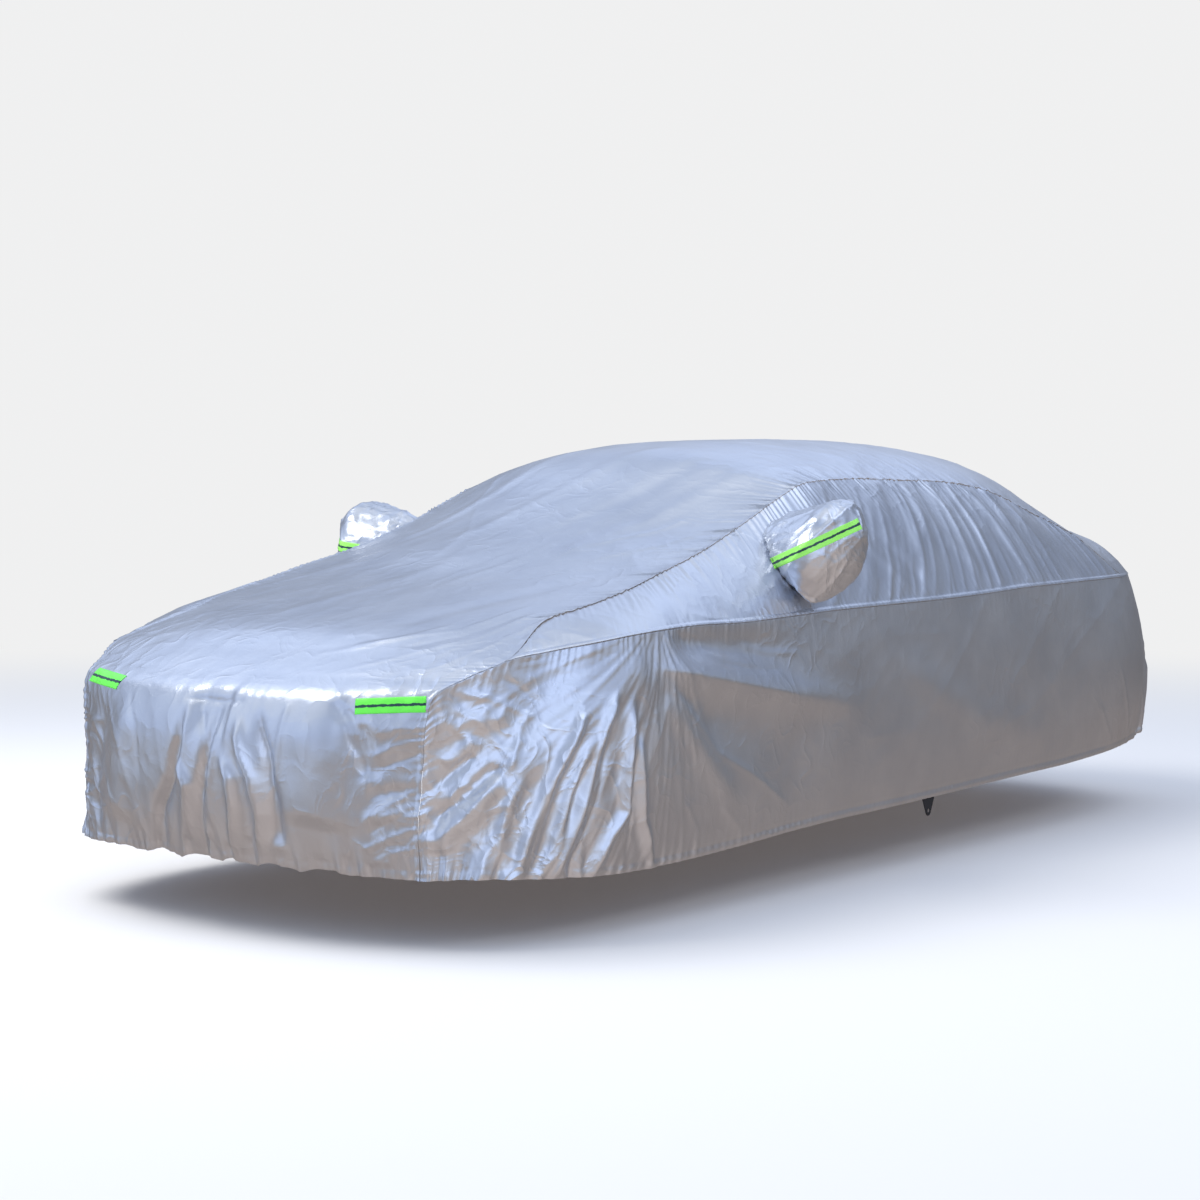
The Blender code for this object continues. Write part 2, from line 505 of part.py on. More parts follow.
def mesh_object(name, points, faces, look):
    """One closed mesh object with its own material; doubled points and collapsed faces are taken out."""
    mesh = bpy.data.meshes.new(name)
    mesh.from_pydata([tuple(p) for p in np.asarray(points) - ORIGIN], [], faces)
    work = bmesh.new()
    work.from_mesh(mesh)
    bmesh.ops.remove_doubles(work, verts=work.verts, dist=1e-6)
    bmesh.ops.dissolve_degenerate(work, edges=work.edges, dist=1e-7)
    bmesh.ops.triangulate(work, faces=work.faces)
    bmesh.ops.recalc_face_normals(work, faces=work.faces)
    work.to_mesh(mesh)
    work.free()
    obj = bpy.data.objects.new(name, mesh)
    if look:
        obj.data.materials.append(material(name, *look))
    bpy.context.scene.collection.objects.link(obj)
    return obj


def mirrored(points):
    return points * np.array((1.0, -1.0, 1.0))


def tree_of(points, faces):
    return BVHTree.FromPolygons([Vector(p) for p in points], [list(f) for f in faces])


def cast(tree, point, direction):
    """Nearest surface point that a ray meets, and the normal turned towards where the ray came from."""
    direction = Vector(direction).normalized()
    hit, normal, _, _ = tree.ray_cast(Vector(point), direction)
    if hit is None:
        raise ValueError("a sewn-on piece misses the cloth under it")
    if normal.dot(direction) > 0:
        normal = -normal
    return np.array(hit), np.array(normal)


def skin_solid(points, normals, faces, gap, thickness):
    """A patch of skin lifted off by the gap and given a thickness, closed round its open edges."""
    count = len(points)
    low = points + normals * gap
    high = points + normals * (gap + thickness)
    sides = {}
    for face in faces:
        for a, b in zip(face, face[1:] + face[:1]):
            if (b, a) in sides:
                del sides[(b, a)]
            else:
                sides[(a, b)] = True
    rim = [(b, a, a + count, b + count) for a, b in sides]
    top = [tuple(i + count for i in f) for f in faces]
    bottom = [tuple(f[::-1]) for f in faces]
    return np.concatenate([low, high]), top + bottom + rim


def strip_on(points, faces, start, end, width, facing):
    """A straight strip cut out of a skin between two places on it, then lifted off as a thin sheet."""
    start = Vector(start)
    end = Vector(end)
    facing = Vector(facing).normalized()
    way = (end - start).normalized()
    across = facing.cross(way).normalized()
    work = bmesh.new()
    verts = [work.verts.new(p) for p in points]
    for face in faces:
        work.faces.new([verts[i] for i in face])
    bmesh.ops.triangulate(work, faces=work.faces)
    half = across * (width / 2)
    for place, out in ((start, -way), (end, way), (start + half, across), (start - half, -across)):
        everything = work.verts[:] + work.edges[:] + work.faces[:]
        bmesh.ops.bisect_plane(
            work, geom=everything, dist=1e-6, plane_co=place, plane_no=out, clear_outer=True
        )
    work.normal_update()
    away = [f for f in work.faces if f.normal.dot(facing) < 0.15]
    bmesh.ops.delete(work, geom=away, context="FACES")
    loose = [v for v in work.verts if not v.link_faces]
    bmesh.ops.delete(work, geom=loose, context="VERTS")
    bmesh.ops.remove_doubles(work, verts=work.verts, dist=2e-4)
    work.normal_update()
    work.verts.index_update()
    patch = np.array([v.co for v in work.verts])
    normals = np.array([v.normal for v in work.verts])
    cells = [tuple(v.index for v in f.verts) for f in work.faces]
    work.free()
    return skin_solid(patch, normals, cells, SEAT_GAP, STRIP_CLOTH)


def outer_skin(*sheets):
    """Points and faces of the outside of several sheets, as drawn in at their seams."""
    points = []
    faces = []
    count = 0
    for sheet in sheets:
        flat = (sheet.points + sheet.inset).reshape(-1, 3)
        points.append(flat)
        faces.extend(tuple(int(i) + count for i in f) for f in sheet.faces())
        count += len(flat)
    return np.concatenate(points), faces


def pocket_solid(tree, sign):
    """Hollow pocket, open where its rim is sewn round the hole in the band panel."""
    section = table(POCKET_COLUMNS, POCKET)
    centre = np.array(POCKET_CENTRE)
    around = 2 * np.pi * np.arange(POCKET_AROUND) / POCKET_AROUND

    def flank(x, z):
        hit, _ = cast(tree, (x, sign * 1.6, z), (0, -sign, 0))
        return abs(hit[1])

    rings = []
    for i in range(len(POCKET)):
        lump = 1 + 0.030 * np.sin(3 * around + 0.7 * sign) + 0.020 * np.sin(5 * around + 1.1 * i)
        if i == 0:
            lump = np.ones(POCKET_AROUND)
        rise = section["rz"][i] * np.sin(around) * lump
        reach = section["rx"][i] * np.cos(around) * lump
        x = centre[0] + section["dx"][i] + reach - section["lean"][i] * rise
        z = centre[2] + section["dz"][i] + rise
        base = np.array([flank(a, b) for a, b in zip(x, z)])
        y = base - POCKET_ROOT
        if i:
            straight = centre[1] + section["dy"][i]
            first = rings[0][:, 1] + POCKET_ROOT
            y = first + (straight - first) * smooth(section["dy"][i] / 0.085)
            y = np.maximum(y, base + 0.45 * section["dy"][i])
        rings.append(np.stack([x, y, z], 1))
    outer = np.array(rings)
    turn = np.roll(outer, -1, axis=1) - np.roll(outer, 1, axis=1)
    rise = np.gradient(outer, axis=0)
    normals = np.cross(turn, rise)
    normals[-1] = (-0.25, 1.0, 0.05)
    normals /= np.linalg.norm(normals, axis=2)[..., None]
    mid = outer.mean(axis=1, keepdims=True)
    if np.sum(normals[2] * (outer[2] - mid[2])) < 0:
        normals[:-1] *= -1
    inner = outer - normals * CLOTH
    outer[..., 1] *= sign
    inner[..., 1] *= sign
    rows = len(POCKET)
    index = np.arange(rows * POCKET_AROUND).reshape(rows, POCKET_AROUND)
    after = np.roll(index, -1, axis=1)
    count = rows * POCKET_AROUND
    skin = []
    for i in range(rows - 1):
        for k in range(POCKET_AROUND):
            quad = (int(index[i, k]), int(index[i + 1, k]), int(after[i + 1, k]), int(after[i, k]))
            skin.append(quad if sign > 0 else quad[::-1])
    back = [tuple(i + count for i in f[::-1]) for f in skin]
    ring = []
    for k in range(POCKET_AROUND):
        a = int(index[0, k])
        b = int(after[0, k])
        quad = (a, b, b + count, a + count)
        ring.append(quad if sign > 0 else quad[::-1])
    points = np.concatenate([outer.reshape(-1, 3), inner.reshape(-1, 3)])
    return points, skin + back + ring, outer.reshape(-1, 3), skin


def band_slab(name, sheet):
    """Cutter that takes off the root of the pocket, so that its rim seats on the band panel."""
    x = sheet.points[:, 0, 0]
    used = np.flatnonzero((x > POCKET_CENTRE[0] - 0.36) & (x < POCKET_CENTRE[0] + 0.34))
    slab = Sheet(sheet.points[used] + sheet.normals[used] * SEAT_GAP, sheet.flip)
    slab.normals = sheet.normals[used]
    cutter = mesh_object(name, *solid_from(slab, 0.045), None)
    cutter.hide_render = True
    cutter.display_type = "WIRE"
    return cutter


def pocket_hole(name, sign):
    """Cutter for the hole in the band panel behind the pocket."""
    around = 2 * np.pi * np.arange(POCKET_AROUND) / POCKET_AROUND
    rx = POCKET[0][3] - POCKET_HOLE_MARGIN
    rz = POCKET[0][4] - POCKET_HOLE_MARGIN
    rise = rz * np.sin(around)
    x = POCKET_CENTRE[0] + POCKET[0][0] + rx * np.cos(around) - POCKET[0][5] * rise
    z = POCKET_CENTRE[2] + POCKET[0][2] + rise
    rings = [np.stack([x, np.full_like(x, sign * y), z], 1) for y in (0.6, 1.2)]
    n = POCKET_AROUND
    faces = [tuple(range(n)), tuple(range(2 * n - 1, n - 1, -1))]
    faces += [(k, k + n, (k + 1) % n + n, (k + 1) % n) for k in range(n)]
    cutter = mesh_object(name, np.concatenate(rings), faces, None)
    cutter.hide_render = True
    cutter.display_type = "WIRE"
    return cutter


def subtract(obj, cutter):
    cut = obj.modifiers.new(cutter.name, "BOOLEAN")
    cut.operation = "DIFFERENCE"
    cut.solver = "EXACT"
    cut.object = cutter


def tab_solid(tree):
    """Webbing tab: sewn flat behind the hem, narrowing downwards, with an eyelet hole."""
    x0 = TAB["x"]
    hem = along(KNOTS_S, LINE_H, np.interp(-x0, -LINE_H[:, 0], np.arange(len(LINE_H))))
    z0 = float(hem[2]) + 0.002
    low = z0 - TAB["drop"]
    half_top = TAB["top_width"] / 2
    half_low = TAB["low_width"] / 2
    hole = np.array((x0, low + 0.017))
    steps = TAB["round_steps"]
    corners = np.array((
        (x0 + half_top, z0), (x0 - half_top, z0), (x0 - half_low, low + 0.010),
        (x0 - half_low + 0.008, low), (x0 + half_low - 0.008, low), (x0 + half_low, low + 0.010),
    ))
    angles = np.sort(np.arctan2(corners[:, 1] - hole[1], corners[:, 0] - hole[0]) % (2 * np.pi))
    plain = 2 * np.pi * np.arange(steps) / steps
    clear = np.abs((plain[:, None] - angles[None] + np.pi) % (2 * np.pi) - np.pi).min(axis=1) > 0.14
    angles = np.sort(np.concatenate([angles, plain[clear]]))
    rim = []
    for angle in angles:
        way = np.array((math.cos(angle), math.sin(angle)))
        reach = []
        for a, b in zip(corners, np.roll(corners, -1, axis=0)):
            edge = b - a
            cross = way[0] * edge[1] - way[1] * edge[0]
            if abs(cross) < 1e-12:
                continue
            gap = a - hole
            far = (gap[0] * edge[1] - gap[1] * edge[0]) / cross
            part = (gap[0] * way[1] - gap[1] * way[0]) / cross
            if far > 0 and -1e-6 <= part <= 1 + 1e-6:
                reach.append(far)
        rim.append(hole + way * min(reach))
    rim = np.array(rim)
    eye = hole + TAB["hole"] * np.stack([np.cos(angles), np.sin(angles)], 1)
    n = len(angles)
    flat = np.concatenate([eye, rim])
    faces = [(k, k + n, (k + 1) % n + n, (k + 1) % n) for k in range(n)]
    tops = [k + n for k in range(n) if rim[k, 1] > z0 - 1e-6]
    tops.sort(key=lambda k: -flat[k, 0])
    lap = flat[tops] + (0.0, TAB["lap"])
    first = len(flat)
    flat = np.concatenate([flat, lap])
    faces += [(tops[k], first + k, first + k + 1, tops[k + 1]) for k in range(len(tops) - 1)]

    def inside(x, z):
        hit, _ = cast(tree, (x, 0.5, z), (0, 1, 0))
        return hit[1]

    seat_low = min(inside(x, z0 + 0.004) for x in flat[tops][:, 0])
    seat_high = min(inside(x, z0 + TAB["lap"]) for x in flat[tops][:, 0])
    slope = (seat_high - seat_low) / (TAB["lap"] - 0.004)
    seat_low -= slope * 0.010
    y = np.where(flat[:, 1] > z0 + 1e-6, seat_high, seat_low) - SEAT_GAP
    back = np.stack([flat[:, 0], y - TAB_CLOTH, flat[:, 1]], 1)
    face_out = np.zeros_like(back) + (0.0, 1.0, 0.0)
    return skin_solid(back, face_out, faces, 0.0, TAB_CLOTH)


# Looks: colour, roughness and metallic value.
SILVER = ((0.50, 0.54, 0.60), 0.36, 0.75)
GREEN = ((0.10, 0.86, 0.06), 0.40, 0.0)
BLACK = ((0.012, 0.012, 0.014), 0.70, 0.0)

# Grid positions shared by the panels that meet at a seam.
fascia_rows = spaced([r[1] for r in FASCIA] + [0])[:-1]
side_cols = spaced([r[1] for r in UPPER])
v_cols = cross_positions()
tail_cols = v_cols[v_cols >= -1e-9][::-1][1:]
level_rows = fascia_rows[fascia_rows <= CORNER]
skirt_cols = np.concatenate([fascia_rows[fascia_rows >= CORNER] - CORNER, side_cols + LEAD])
skirt_cells = [r[1] for r in FASCIA[CORNER:] + UPPER]

u_rows = np.concatenate([fascia_rows, side_cols + NA])
centre = Sheet(draped(centre_panel(u_rows[:, None] + 0 * v_cols, v_cols + 0 * u_rows[:, None])), flip=True)

band_cols = side_cols[side_cols <= REAR_JUNCTION + 1e-9]
band_rows = np.linspace(0, 1, BAND_ROWS + 1)
band_base = band(band_cols, band_rows)
bands = {
    1: Sheet(draped(band_base)),
    -1: Sheet(draped(mirrored(band_base)), flip=True),
}


def fine_columns(parts):
    """Skirt columns with extra ones at the front, and where the shared ones stand among them."""
    parts = list(parts) + [1] * (len(skirt_cells) - len(parts))
    parts_of = np.repeat(parts, skirt_cells)
    cells = zip(skirt_cols[:-1], skirt_cols[1:], parts_of)
    fine = np.concatenate([np.linspace(a, b, n, endpoint=False) for a, b, n in cells] + [skirt_cols[-1:]])
    return fine, np.concatenate([[0], np.cumsum(parts_of)])


def straighten(array, shared):
    """Puts the extra columns of a skirt's top row on straight lines between the shared ones."""
    for a, b in zip(shared[:-1], shared[1:]):
        for k in range(a + 1, b):
            share = (k - a) / (b - a)
            array[k, -1] = array[a, -1] * (1 - share) + array[b, -1] * share


skirts = {}
shared_cols = {}
for sign, parts in FRONT_SUB.items():
    fine, shared_cols[sign] = fine_columns(parts)
    base = skirt(fine, tail_cols, level_rows)
    if sign < 0:
        base = mirrored(base)
    skirts[sign] = Sheet(draped(base), flip=sign < 0)
    straighten(skirts[sign].points, shared_cols[sign])
share_normals([centre, *bands.values(), *skirts.values()])
for sign, sheet in skirts.items():
    straighten(sheet.normals, shared_cols[sign])

for edge in ("low", "high", "last"):
    draw_in(centre, edge)
for sheet in bands.values():
    draw_in(sheet, "low")
    draw_in(sheet, "high")
    for tip, inner in ((0, 1), (-1, -2)):
        step = sheet.points[inner].mean(axis=0) - sheet.points[tip, 0]
        sheet.inset[tip] = step / np.linalg.norm(step) * 0.003
for sign, sheet in skirts.items():
    draw_in(sheet, "first")
    draw_in(sheet, "high")
    draw_in(sheet, "last")
    straighten(sheet.inset, shared_cols[sign])

mesh_object("centre_panel", *solid_from(centre, CLOTH), SILVER)
for sign, tag in ((1, "left"), (-1, "right")):
    skirt_mesh = solid_from(skirts[sign], CLOTH)
    mesh_object("skirt_" + tag, *skirt_mesh, SILVER)
    band_object = mesh_object("band_" + tag, *solid_from(bands[sign], CLOTH), SILVER)
    subtract(band_object, pocket_hole("pocket_hole_" + tag, sign))
    flank_tree = tree_of(*outer_skin(bands[sign], skirts[sign], centre))
    points, faces, skin_points, skin_faces = pocket_solid(flank_tree, sign)
    pocket = mesh_object("mirror_pocket_" + tag, points, faces, SILVER)
    seat = band_slab("pocket_seat_" + tag, bands[sign])
    subtract(pocket, seat)
    ends = STRIP_MIRROR[tag]
    flip = np.array((1, sign, 1))
    ends = [np.array(e) * flip for e in ends]
    facing = (0.86, 0.51 * sign, 0.0)
    strip = strip_on(skin_points, skin_faces, *ends, STRIP_MIRROR["width"], facing)
    subtract(mesh_object("strip_mirror_" + tag, *strip, GREEN), seat)
    centre_skin = outer_skin(centre)
    nose_tree = tree_of(*centre_skin)
    ends = [cast(nose_tree, (3.0, sign * y, z), (-1, 0, 0))[0] for y, z in STRIP_FRONT[tag]]
    facing = (0.88, 0.45 * sign, 0.15)
    strip = strip_on(*centre_skin, *ends, STRIP_FRONT["width"], facing)
    mesh_object("strip_front_" + tag, *strip, GREEN)
    if sign > 0:
        mesh_object("hem_tab", *tab_solid(tree_of(*skirt_mesh)), BLACK)
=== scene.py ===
import json
import math
import bpy
import numpy as np
from bpy.props import FloatProperty, FloatVectorProperty, PointerProperty
from mathutils import Matrix, Vector
from mathutils.bvhtree import BVHTree

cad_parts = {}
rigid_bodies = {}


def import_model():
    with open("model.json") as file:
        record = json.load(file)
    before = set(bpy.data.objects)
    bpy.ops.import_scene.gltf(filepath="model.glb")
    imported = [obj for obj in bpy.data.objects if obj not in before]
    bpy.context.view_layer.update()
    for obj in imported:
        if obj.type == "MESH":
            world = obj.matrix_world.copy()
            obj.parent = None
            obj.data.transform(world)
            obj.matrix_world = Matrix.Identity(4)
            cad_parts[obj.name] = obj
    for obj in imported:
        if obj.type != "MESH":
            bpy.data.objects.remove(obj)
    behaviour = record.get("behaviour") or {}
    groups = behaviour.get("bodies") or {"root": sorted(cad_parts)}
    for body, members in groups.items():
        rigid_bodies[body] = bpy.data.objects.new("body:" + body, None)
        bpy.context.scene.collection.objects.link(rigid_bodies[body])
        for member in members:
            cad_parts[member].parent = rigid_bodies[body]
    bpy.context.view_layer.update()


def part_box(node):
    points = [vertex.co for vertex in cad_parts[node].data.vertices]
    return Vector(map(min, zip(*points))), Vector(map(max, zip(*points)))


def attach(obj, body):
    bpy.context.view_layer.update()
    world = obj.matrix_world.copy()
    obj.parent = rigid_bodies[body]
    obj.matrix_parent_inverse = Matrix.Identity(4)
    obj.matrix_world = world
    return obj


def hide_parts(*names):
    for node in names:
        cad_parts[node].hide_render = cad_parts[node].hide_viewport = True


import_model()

bl_info = {
    "name": "Silver Fitted Cover",
    "version": (1, 0, 0),
    "blender": (4, 5, 0),
    "location": "View3D > Sidebar > Cover",
    "description": "Fine cloth sheets, pockets, strips and studio stage for a silver fitted cover",
    "category": "Add Mesh",
}

ORIGIN = np.array((-0.340, 0.0, 1.432))   # the frame's zero, as seen from ground level below the flanks
HALVES = ((1, "left"), (-1, "right"))     # sign of y, and the name of that half

# Stations from the front hem to the tail. c is the centre line and e the seam at the edge of the centre
# panel; px and pz shape each cross row in plan and in height.
STATION_COLUMNS = "name cx cz ex ey ez px pz"
STATIONS = (
    ("front_hem", 2.345, 0.193, 2.268, 0.640, 0.186, 2.6, 2.0),
    ("bumper_low", 2.395, 0.330, 2.280, 0.646, 0.330, 2.6, 2.0),
    ("bumper_mid", 2.418, 0.450, 2.274, 0.654, 0.466, 2.6, 2.0),
    ("fascia", 2.418, 0.570, 2.268, 0.662, 0.580, 2.6, 2.0),
    ("strip_top", 2.385, 0.650, 2.255, 0.674, 0.665, 2.6, 2.0),
    ("nose_edge", 2.290, 0.712, 2.160, 0.715, 0.719, 2.8, 2.4),
    ("junction", 2.185, 0.765, 2.070, 0.762, 0.758, 2.8, 2.6),
    ("bonnet_a", 2.040, 0.830, 1.807, 0.697, 0.855, 2.6, 2.8),
    ("bonnet_b", 1.870, 0.875, 1.673, 0.727, 0.889, 2.6, 3.0),
    ("bonnet_c", 1.680, 0.918, 1.512, 0.735, 0.924, 2.4, 3.0),
    ("bonnet_d", 1.470, 0.965, 1.305, 0.728, 0.977, 2.4, 3.0),
    ("cowl", 1.260, 1.041, 1.046, 0.707, 1.042, 2.2, 3.0),
    ("screen_a", 1.060, 1.115, 0.783, 0.690, 1.129, 2.0, 2.6),
    ("screen_b", 0.830, 1.220, 0.598, 0.688, 1.201, 2.0, 2.5),
    ("screen_c", 0.560, 1.350, 0.443, 0.684, 1.252, 2.0, 2.6),
    ("roof_a", 0.280, 1.405, 0.240, 0.655, 1.270, 2.0, 2.8),
    ("roof_b", -0.020, 1.427, -0.020, 0.640, 1.281, 2.0, 2.8),
    ("roof_c", -0.340, 1.438, -0.320, 0.636, 1.281, 2.0, 2.8),
    ("roof_d", -0.680, 1.441, -0.640, 0.642, 1.280, 2.0, 2.8),
    ("roof_e", -1.010, 1.426, -0.960, 0.660, 1.250, 2.0, 2.9),
    ("back_a", -1.330, 1.391, -1.240, 0.695, 1.173, 2.2, 2.9),
    ("back_b", -1.650, 1.260, -1.500, 0.771, 1.077, 2.4, 2.5),
    ("rear_junction", -1.900, 1.162, -1.705, 0.872, 0.927, 2.6, 3.4),
    ("boot", -2.140, 1.088, -1.945, 0.790, 0.935, 2.6, 5.0),
    ("tail_edge", -2.300, 1.020, -2.105, 0.690, 0.940, 2.8, 4.2),
    ("tail_seam", -2.360, 0.955, -2.195, 0.575, 0.943, 3.0, 2.6),
)
NAMES = [row[0] for row in STATIONS]
CORNER = NAMES.index("strip_top")          # the skirts start here, where the corner seam turns back
JUNCTION = NAMES.index("junction")         # here the corner seam becomes the top seam and the belt seam
LEAD = JUNCTION - CORNER                   # skirt stations ahead of the junction
REAR_JUNCTION = NAMES.index("rear_junction") - JUNCTION
CORNER_HEM = ((2.268, 0.640, 0.186), (2.253, 0.674, 0.187))   # hem under the stations ahead of the junction
# Lower lines, one row for each station from the junction on: t is the belt seam and h the hem; b1 and b2
# are how far the skirt stands out at a third and at two thirds of its height.
LOWER_COLUMNS = "tx ty tz hx hy hz b1 b2"
LOWER = (
    (2.070, 0.762, 0.758, 2.226, 0.710, 0.189, 0.004, 0.004),
    (1.939, 0.808, 0.781, 2.160, 0.776, 0.190, 0.010, 0.008),
    (1.828, 0.876, 0.801, 2.000, 0.852, 0.180, 0.018, 0.012),
    (1.675, 0.914, 0.820, 1.800, 0.905, 0.170, 0.022, 0.015),
    (1.420, 0.925, 0.836, 1.480, 0.928, 0.172, 0.022, 0.018),
    (1.150, 0.930, 0.838, 1.150, 0.938, 0.185, 0.020, 0.018),
    (0.900, 0.932, 0.848, 0.900, 0.942, 0.197, 0.018, 0.016),
    (0.660, 0.932, 0.858, 0.660, 0.944, 0.205, 0.016, 0.014),
    (0.430, 0.932, 0.864, 0.430, 0.945, 0.208, 0.016, 0.012),
    (0.180, 0.932, 0.870, 0.180, 0.945, 0.212, 0.016, 0.012),
    (-0.100, 0.932, 0.877, -0.100, 0.945, 0.218, 0.016, 0.012),
    (-0.400, 0.931, 0.888, -0.400, 0.945, 0.225, 0.016, 0.012),
    (-0.720, 0.929, 0.903, -0.720, 0.944, 0.232, 0.016, 0.012),
    (-1.020, 0.923, 0.911, -1.020, 0.938, 0.236, 0.018, 0.014),
    (-1.290, 0.914, 0.918, -1.290, 0.930, 0.245, 0.022, 0.020),
    (-1.530, 0.900, 0.923, -1.530, 0.918, 0.255, 0.028, 0.026),
    (-1.705, 0.872, 0.927, -1.740, 0.893, 0.268, 0.030, 0.026),
    (-1.945, 0.790, 0.935, -1.975, 0.832, 0.290, 0.030, 0.026),
    (-2.105, 0.690, 0.940, -2.140, 0.742, 0.320, 0.030, 0.024),
    (-2.195, 0.575, 0.943, -2.235, 0.635, 0.340, 0.028, 0.022),
)
LAST = LEAD + len(LOWER) - 1               # last station of the skirts
THIRD_PEAK = 6.75                          # makes a bulge as tall as its row says, a third of the way up
BAND_BOW = 0.045                           # how far the window bands stand out, as a share of their width
CORNER_EASE = 0.30                         # the skirt leaves the shape of the corner seam over this distance
TAIL_HEM = (-2.365, 0.362)                 # x and z of the hem at the middle of the back

# Main folds. Side and knee folds are (x, z) on the flank, front folds (y, z) on the fascia and top folds
# (x, y) on the top. A positive height stands out, a negative one is a trough. Columns: zone, height,
# width at the start, width at the end, points.
FOLDS = (
    ("side", 0.0156, 0.055, 0.075, ((2.26, 0.33), (2.13, 0.44), (1.91, 0.58), (1.73, 0.70), (1.60, 0.74))),
    ("knee", 0.0240, 0.060, 0.045, ((1.66, 0.735), (1.22, 0.665), (0.90, 0.61), (0.42, 0.55))),
    ("knee", -0.0140, 0.045, 0.050, ((1.56, 0.79), (1.23, 0.765), (0.80, 0.75))),
    ("knee", -0.0120, 0.070, 0.130, ((1.44, 0.60), (1.14, 0.50), (0.70, 0.34))),
    ("knee", 0.0100, 0.040, 0.050, ((1.60, 0.66), (1.46, 0.52), (1.30, 0.36), (1.16, 0.16))),
    ("side", 0.0170, 0.016, 0.018, ((1.78, 0.68), (1.84, 0.58), (1.90, 0.42), (1.95, 0.28), (2.02, 0.12))),
    ("side", 0.0180, 0.018, 0.022, ((1.73, 0.66), (1.76, 0.48), (1.77, 0.34), (1.82, 0.27), (1.90, 0.12))),
    ("side", 0.0110, 0.018, 0.020, ((1.72, 0.56), (1.70, 0.42), (1.69, 0.31), (1.60, 0.12))),
    ("side", 0.0150, 0.014, 0.017, ((1.86, 0.58), (1.95, 0.41), (1.99, 0.27), (2.05, 0.12))),
    ("side", 0.0150, 0.014, 0.018, ((1.88, 0.64), (1.94, 0.54), (1.99, 0.45), (2.04, 0.34), (2.12, 0.12))),
    ("side", 0.0096, 0.016, 0.020, ((2.06, 0.46), (2.09, 0.39), (2.13, 0.30), (2.20, 0.12))),
    ("side", 0.0120, 0.020, 0.030, ((2.10, 0.46), (2.18, 0.36), (2.27, 0.27))),
    ("side", -0.0096, 0.013, 0.016, ((2.10, 0.49), (2.19, 0.40), (2.26, 0.34))),
    ("side", 0.0078, 0.018, 0.020, ((2.15, 0.56), (2.23, 0.49))),
    ("side", -0.0078, 0.012, 0.014, ((2.16, 0.52), (2.25, 0.43))),
    ("side", 0.0048, 0.015, 0.018, ((2.02, 0.63), (2.09, 0.47))),
    ("side", -0.0100, 0.030, 0.040, ((-1.95, 0.66), (-1.84, 0.18))),
    ("side", 0.0100, 0.025, 0.035, ((-2.02, 0.60), (-1.96, 0.20))),
    ("side", 0.0060, 0.060, 0.080, ((0.30, 0.70), (-0.30, 0.46), (-0.90, 0.34))),
    ("side", 0.0035, 0.030, 0.030, ((0.36, 1.16), (0.10, 0.90))),
    ("side", -0.0035, 0.030, 0.030, ((0.26, 1.18), (-0.02, 0.92))),
    ("side", 0.0028, 0.035, 0.035, ((-0.22, 1.20), (-0.46, 0.96))),
    ("side", -0.0028, 0.040, 0.040, ((-0.56, 1.22), (-0.86, 0.96))),
    ("side", 0.0028, 0.035, 0.035, ((-0.84, 1.20), (-1.22, 0.96))),
    ("front", -0.01625, 0.016, 0.022,
     ((-0.10, 0.64), (-0.11, 0.53), (-0.15, 0.41), (-0.22, 0.32), (-0.29, 0.12))),
    ("front", 0.01625, 0.018, 0.020, ((-0.13, 0.50), (-0.08, 0.40), (-0.13, 0.26), (-0.16, 0.12))),
    ("front", -0.0150, 0.014, 0.014,
     ((0.01, 0.64), (0.01, 0.55), (-0.02, 0.44), (-0.06, 0.30), (-0.09, 0.12))),
    ("front", 0.01875, 0.020, 0.024, ((0.05, 0.52), (0.09, 0.43), (0.09, 0.34), (0.03, 0.12))),
    ("front", 0.0200, 0.020, 0.026, ((0.10, 0.62), (0.14, 0.52), (0.18, 0.42), (0.19, 0.34), (0.14, 0.12))),
    ("front", -0.0150, 0.018, 0.022, ((0.17, 0.62), (0.22, 0.50), (0.24, 0.38), (0.22, 0.24))),
    ("front", 0.0175, 0.070, 0.090, ((0.33, 0.67), (0.38, 0.50), (0.36, 0.30))),
    ("front", -0.0150, 0.020, 0.024, ((0.42, 0.68), (0.50, 0.58), (0.53, 0.44))),
    ("front", -0.0200, 0.075, 0.060, ((-0.09, 0.60), (0.08, 0.60))),
    ("front", 0.0150, 0.050, 0.070, ((-0.33, 0.66), (-0.40, 0.46), (-0.44, 0.26))),
    ("front", -0.0100, 0.030, 0.040, ((-0.46, 0.64), (-0.54, 0.44), (-0.58, 0.24))),
    ("front", -0.0072, 0.016, 0.018, ((0.52, 0.40), (0.58, 0.42), (0.68, 0.42))),
    ("front", 0.0072, 0.018, 0.020, ((0.50, 0.34), (0.58, 0.36), (0.68, 0.36))),
    ("top", 0.0050, 0.035, 0.040, ((1.30, 0.30), (0.90, 0.42), (0.45, 0.55))),
    ("top", -0.0040, 0.035, 0.040, ((1.20, 0.10), (0.80, 0.28), (0.40, 0.40))),
    ("top", 0.0040, 0.035, 0.040, ((1.22, -0.22), (0.80, -0.02), (0.36, 0.16))),
    ("top", 0.0040, 0.035, 0.040, ((1.16, -0.50), (0.74, -0.34), (0.34, -0.20))),
    ("top", -0.0035, 0.040, 0.050, ((2.05, 0.30), (1.60, 0.48), (1.20, 0.60))),
    ("top", 0.0035, 0.040, 0.050, ((2.00, -0.20), (1.60, -0.10), (1.25, 0.00))),
    ("top", 0.0040, 0.050, 0.050, ((-0.05, 0.52), (-0.35, 0.44), (-0.60, 0.30))),
    ("top", -0.0030, 0.060, 0.060, ((-1.15, 0.50), (-1.50, 0.25), (-1.80, 0.10))),
)
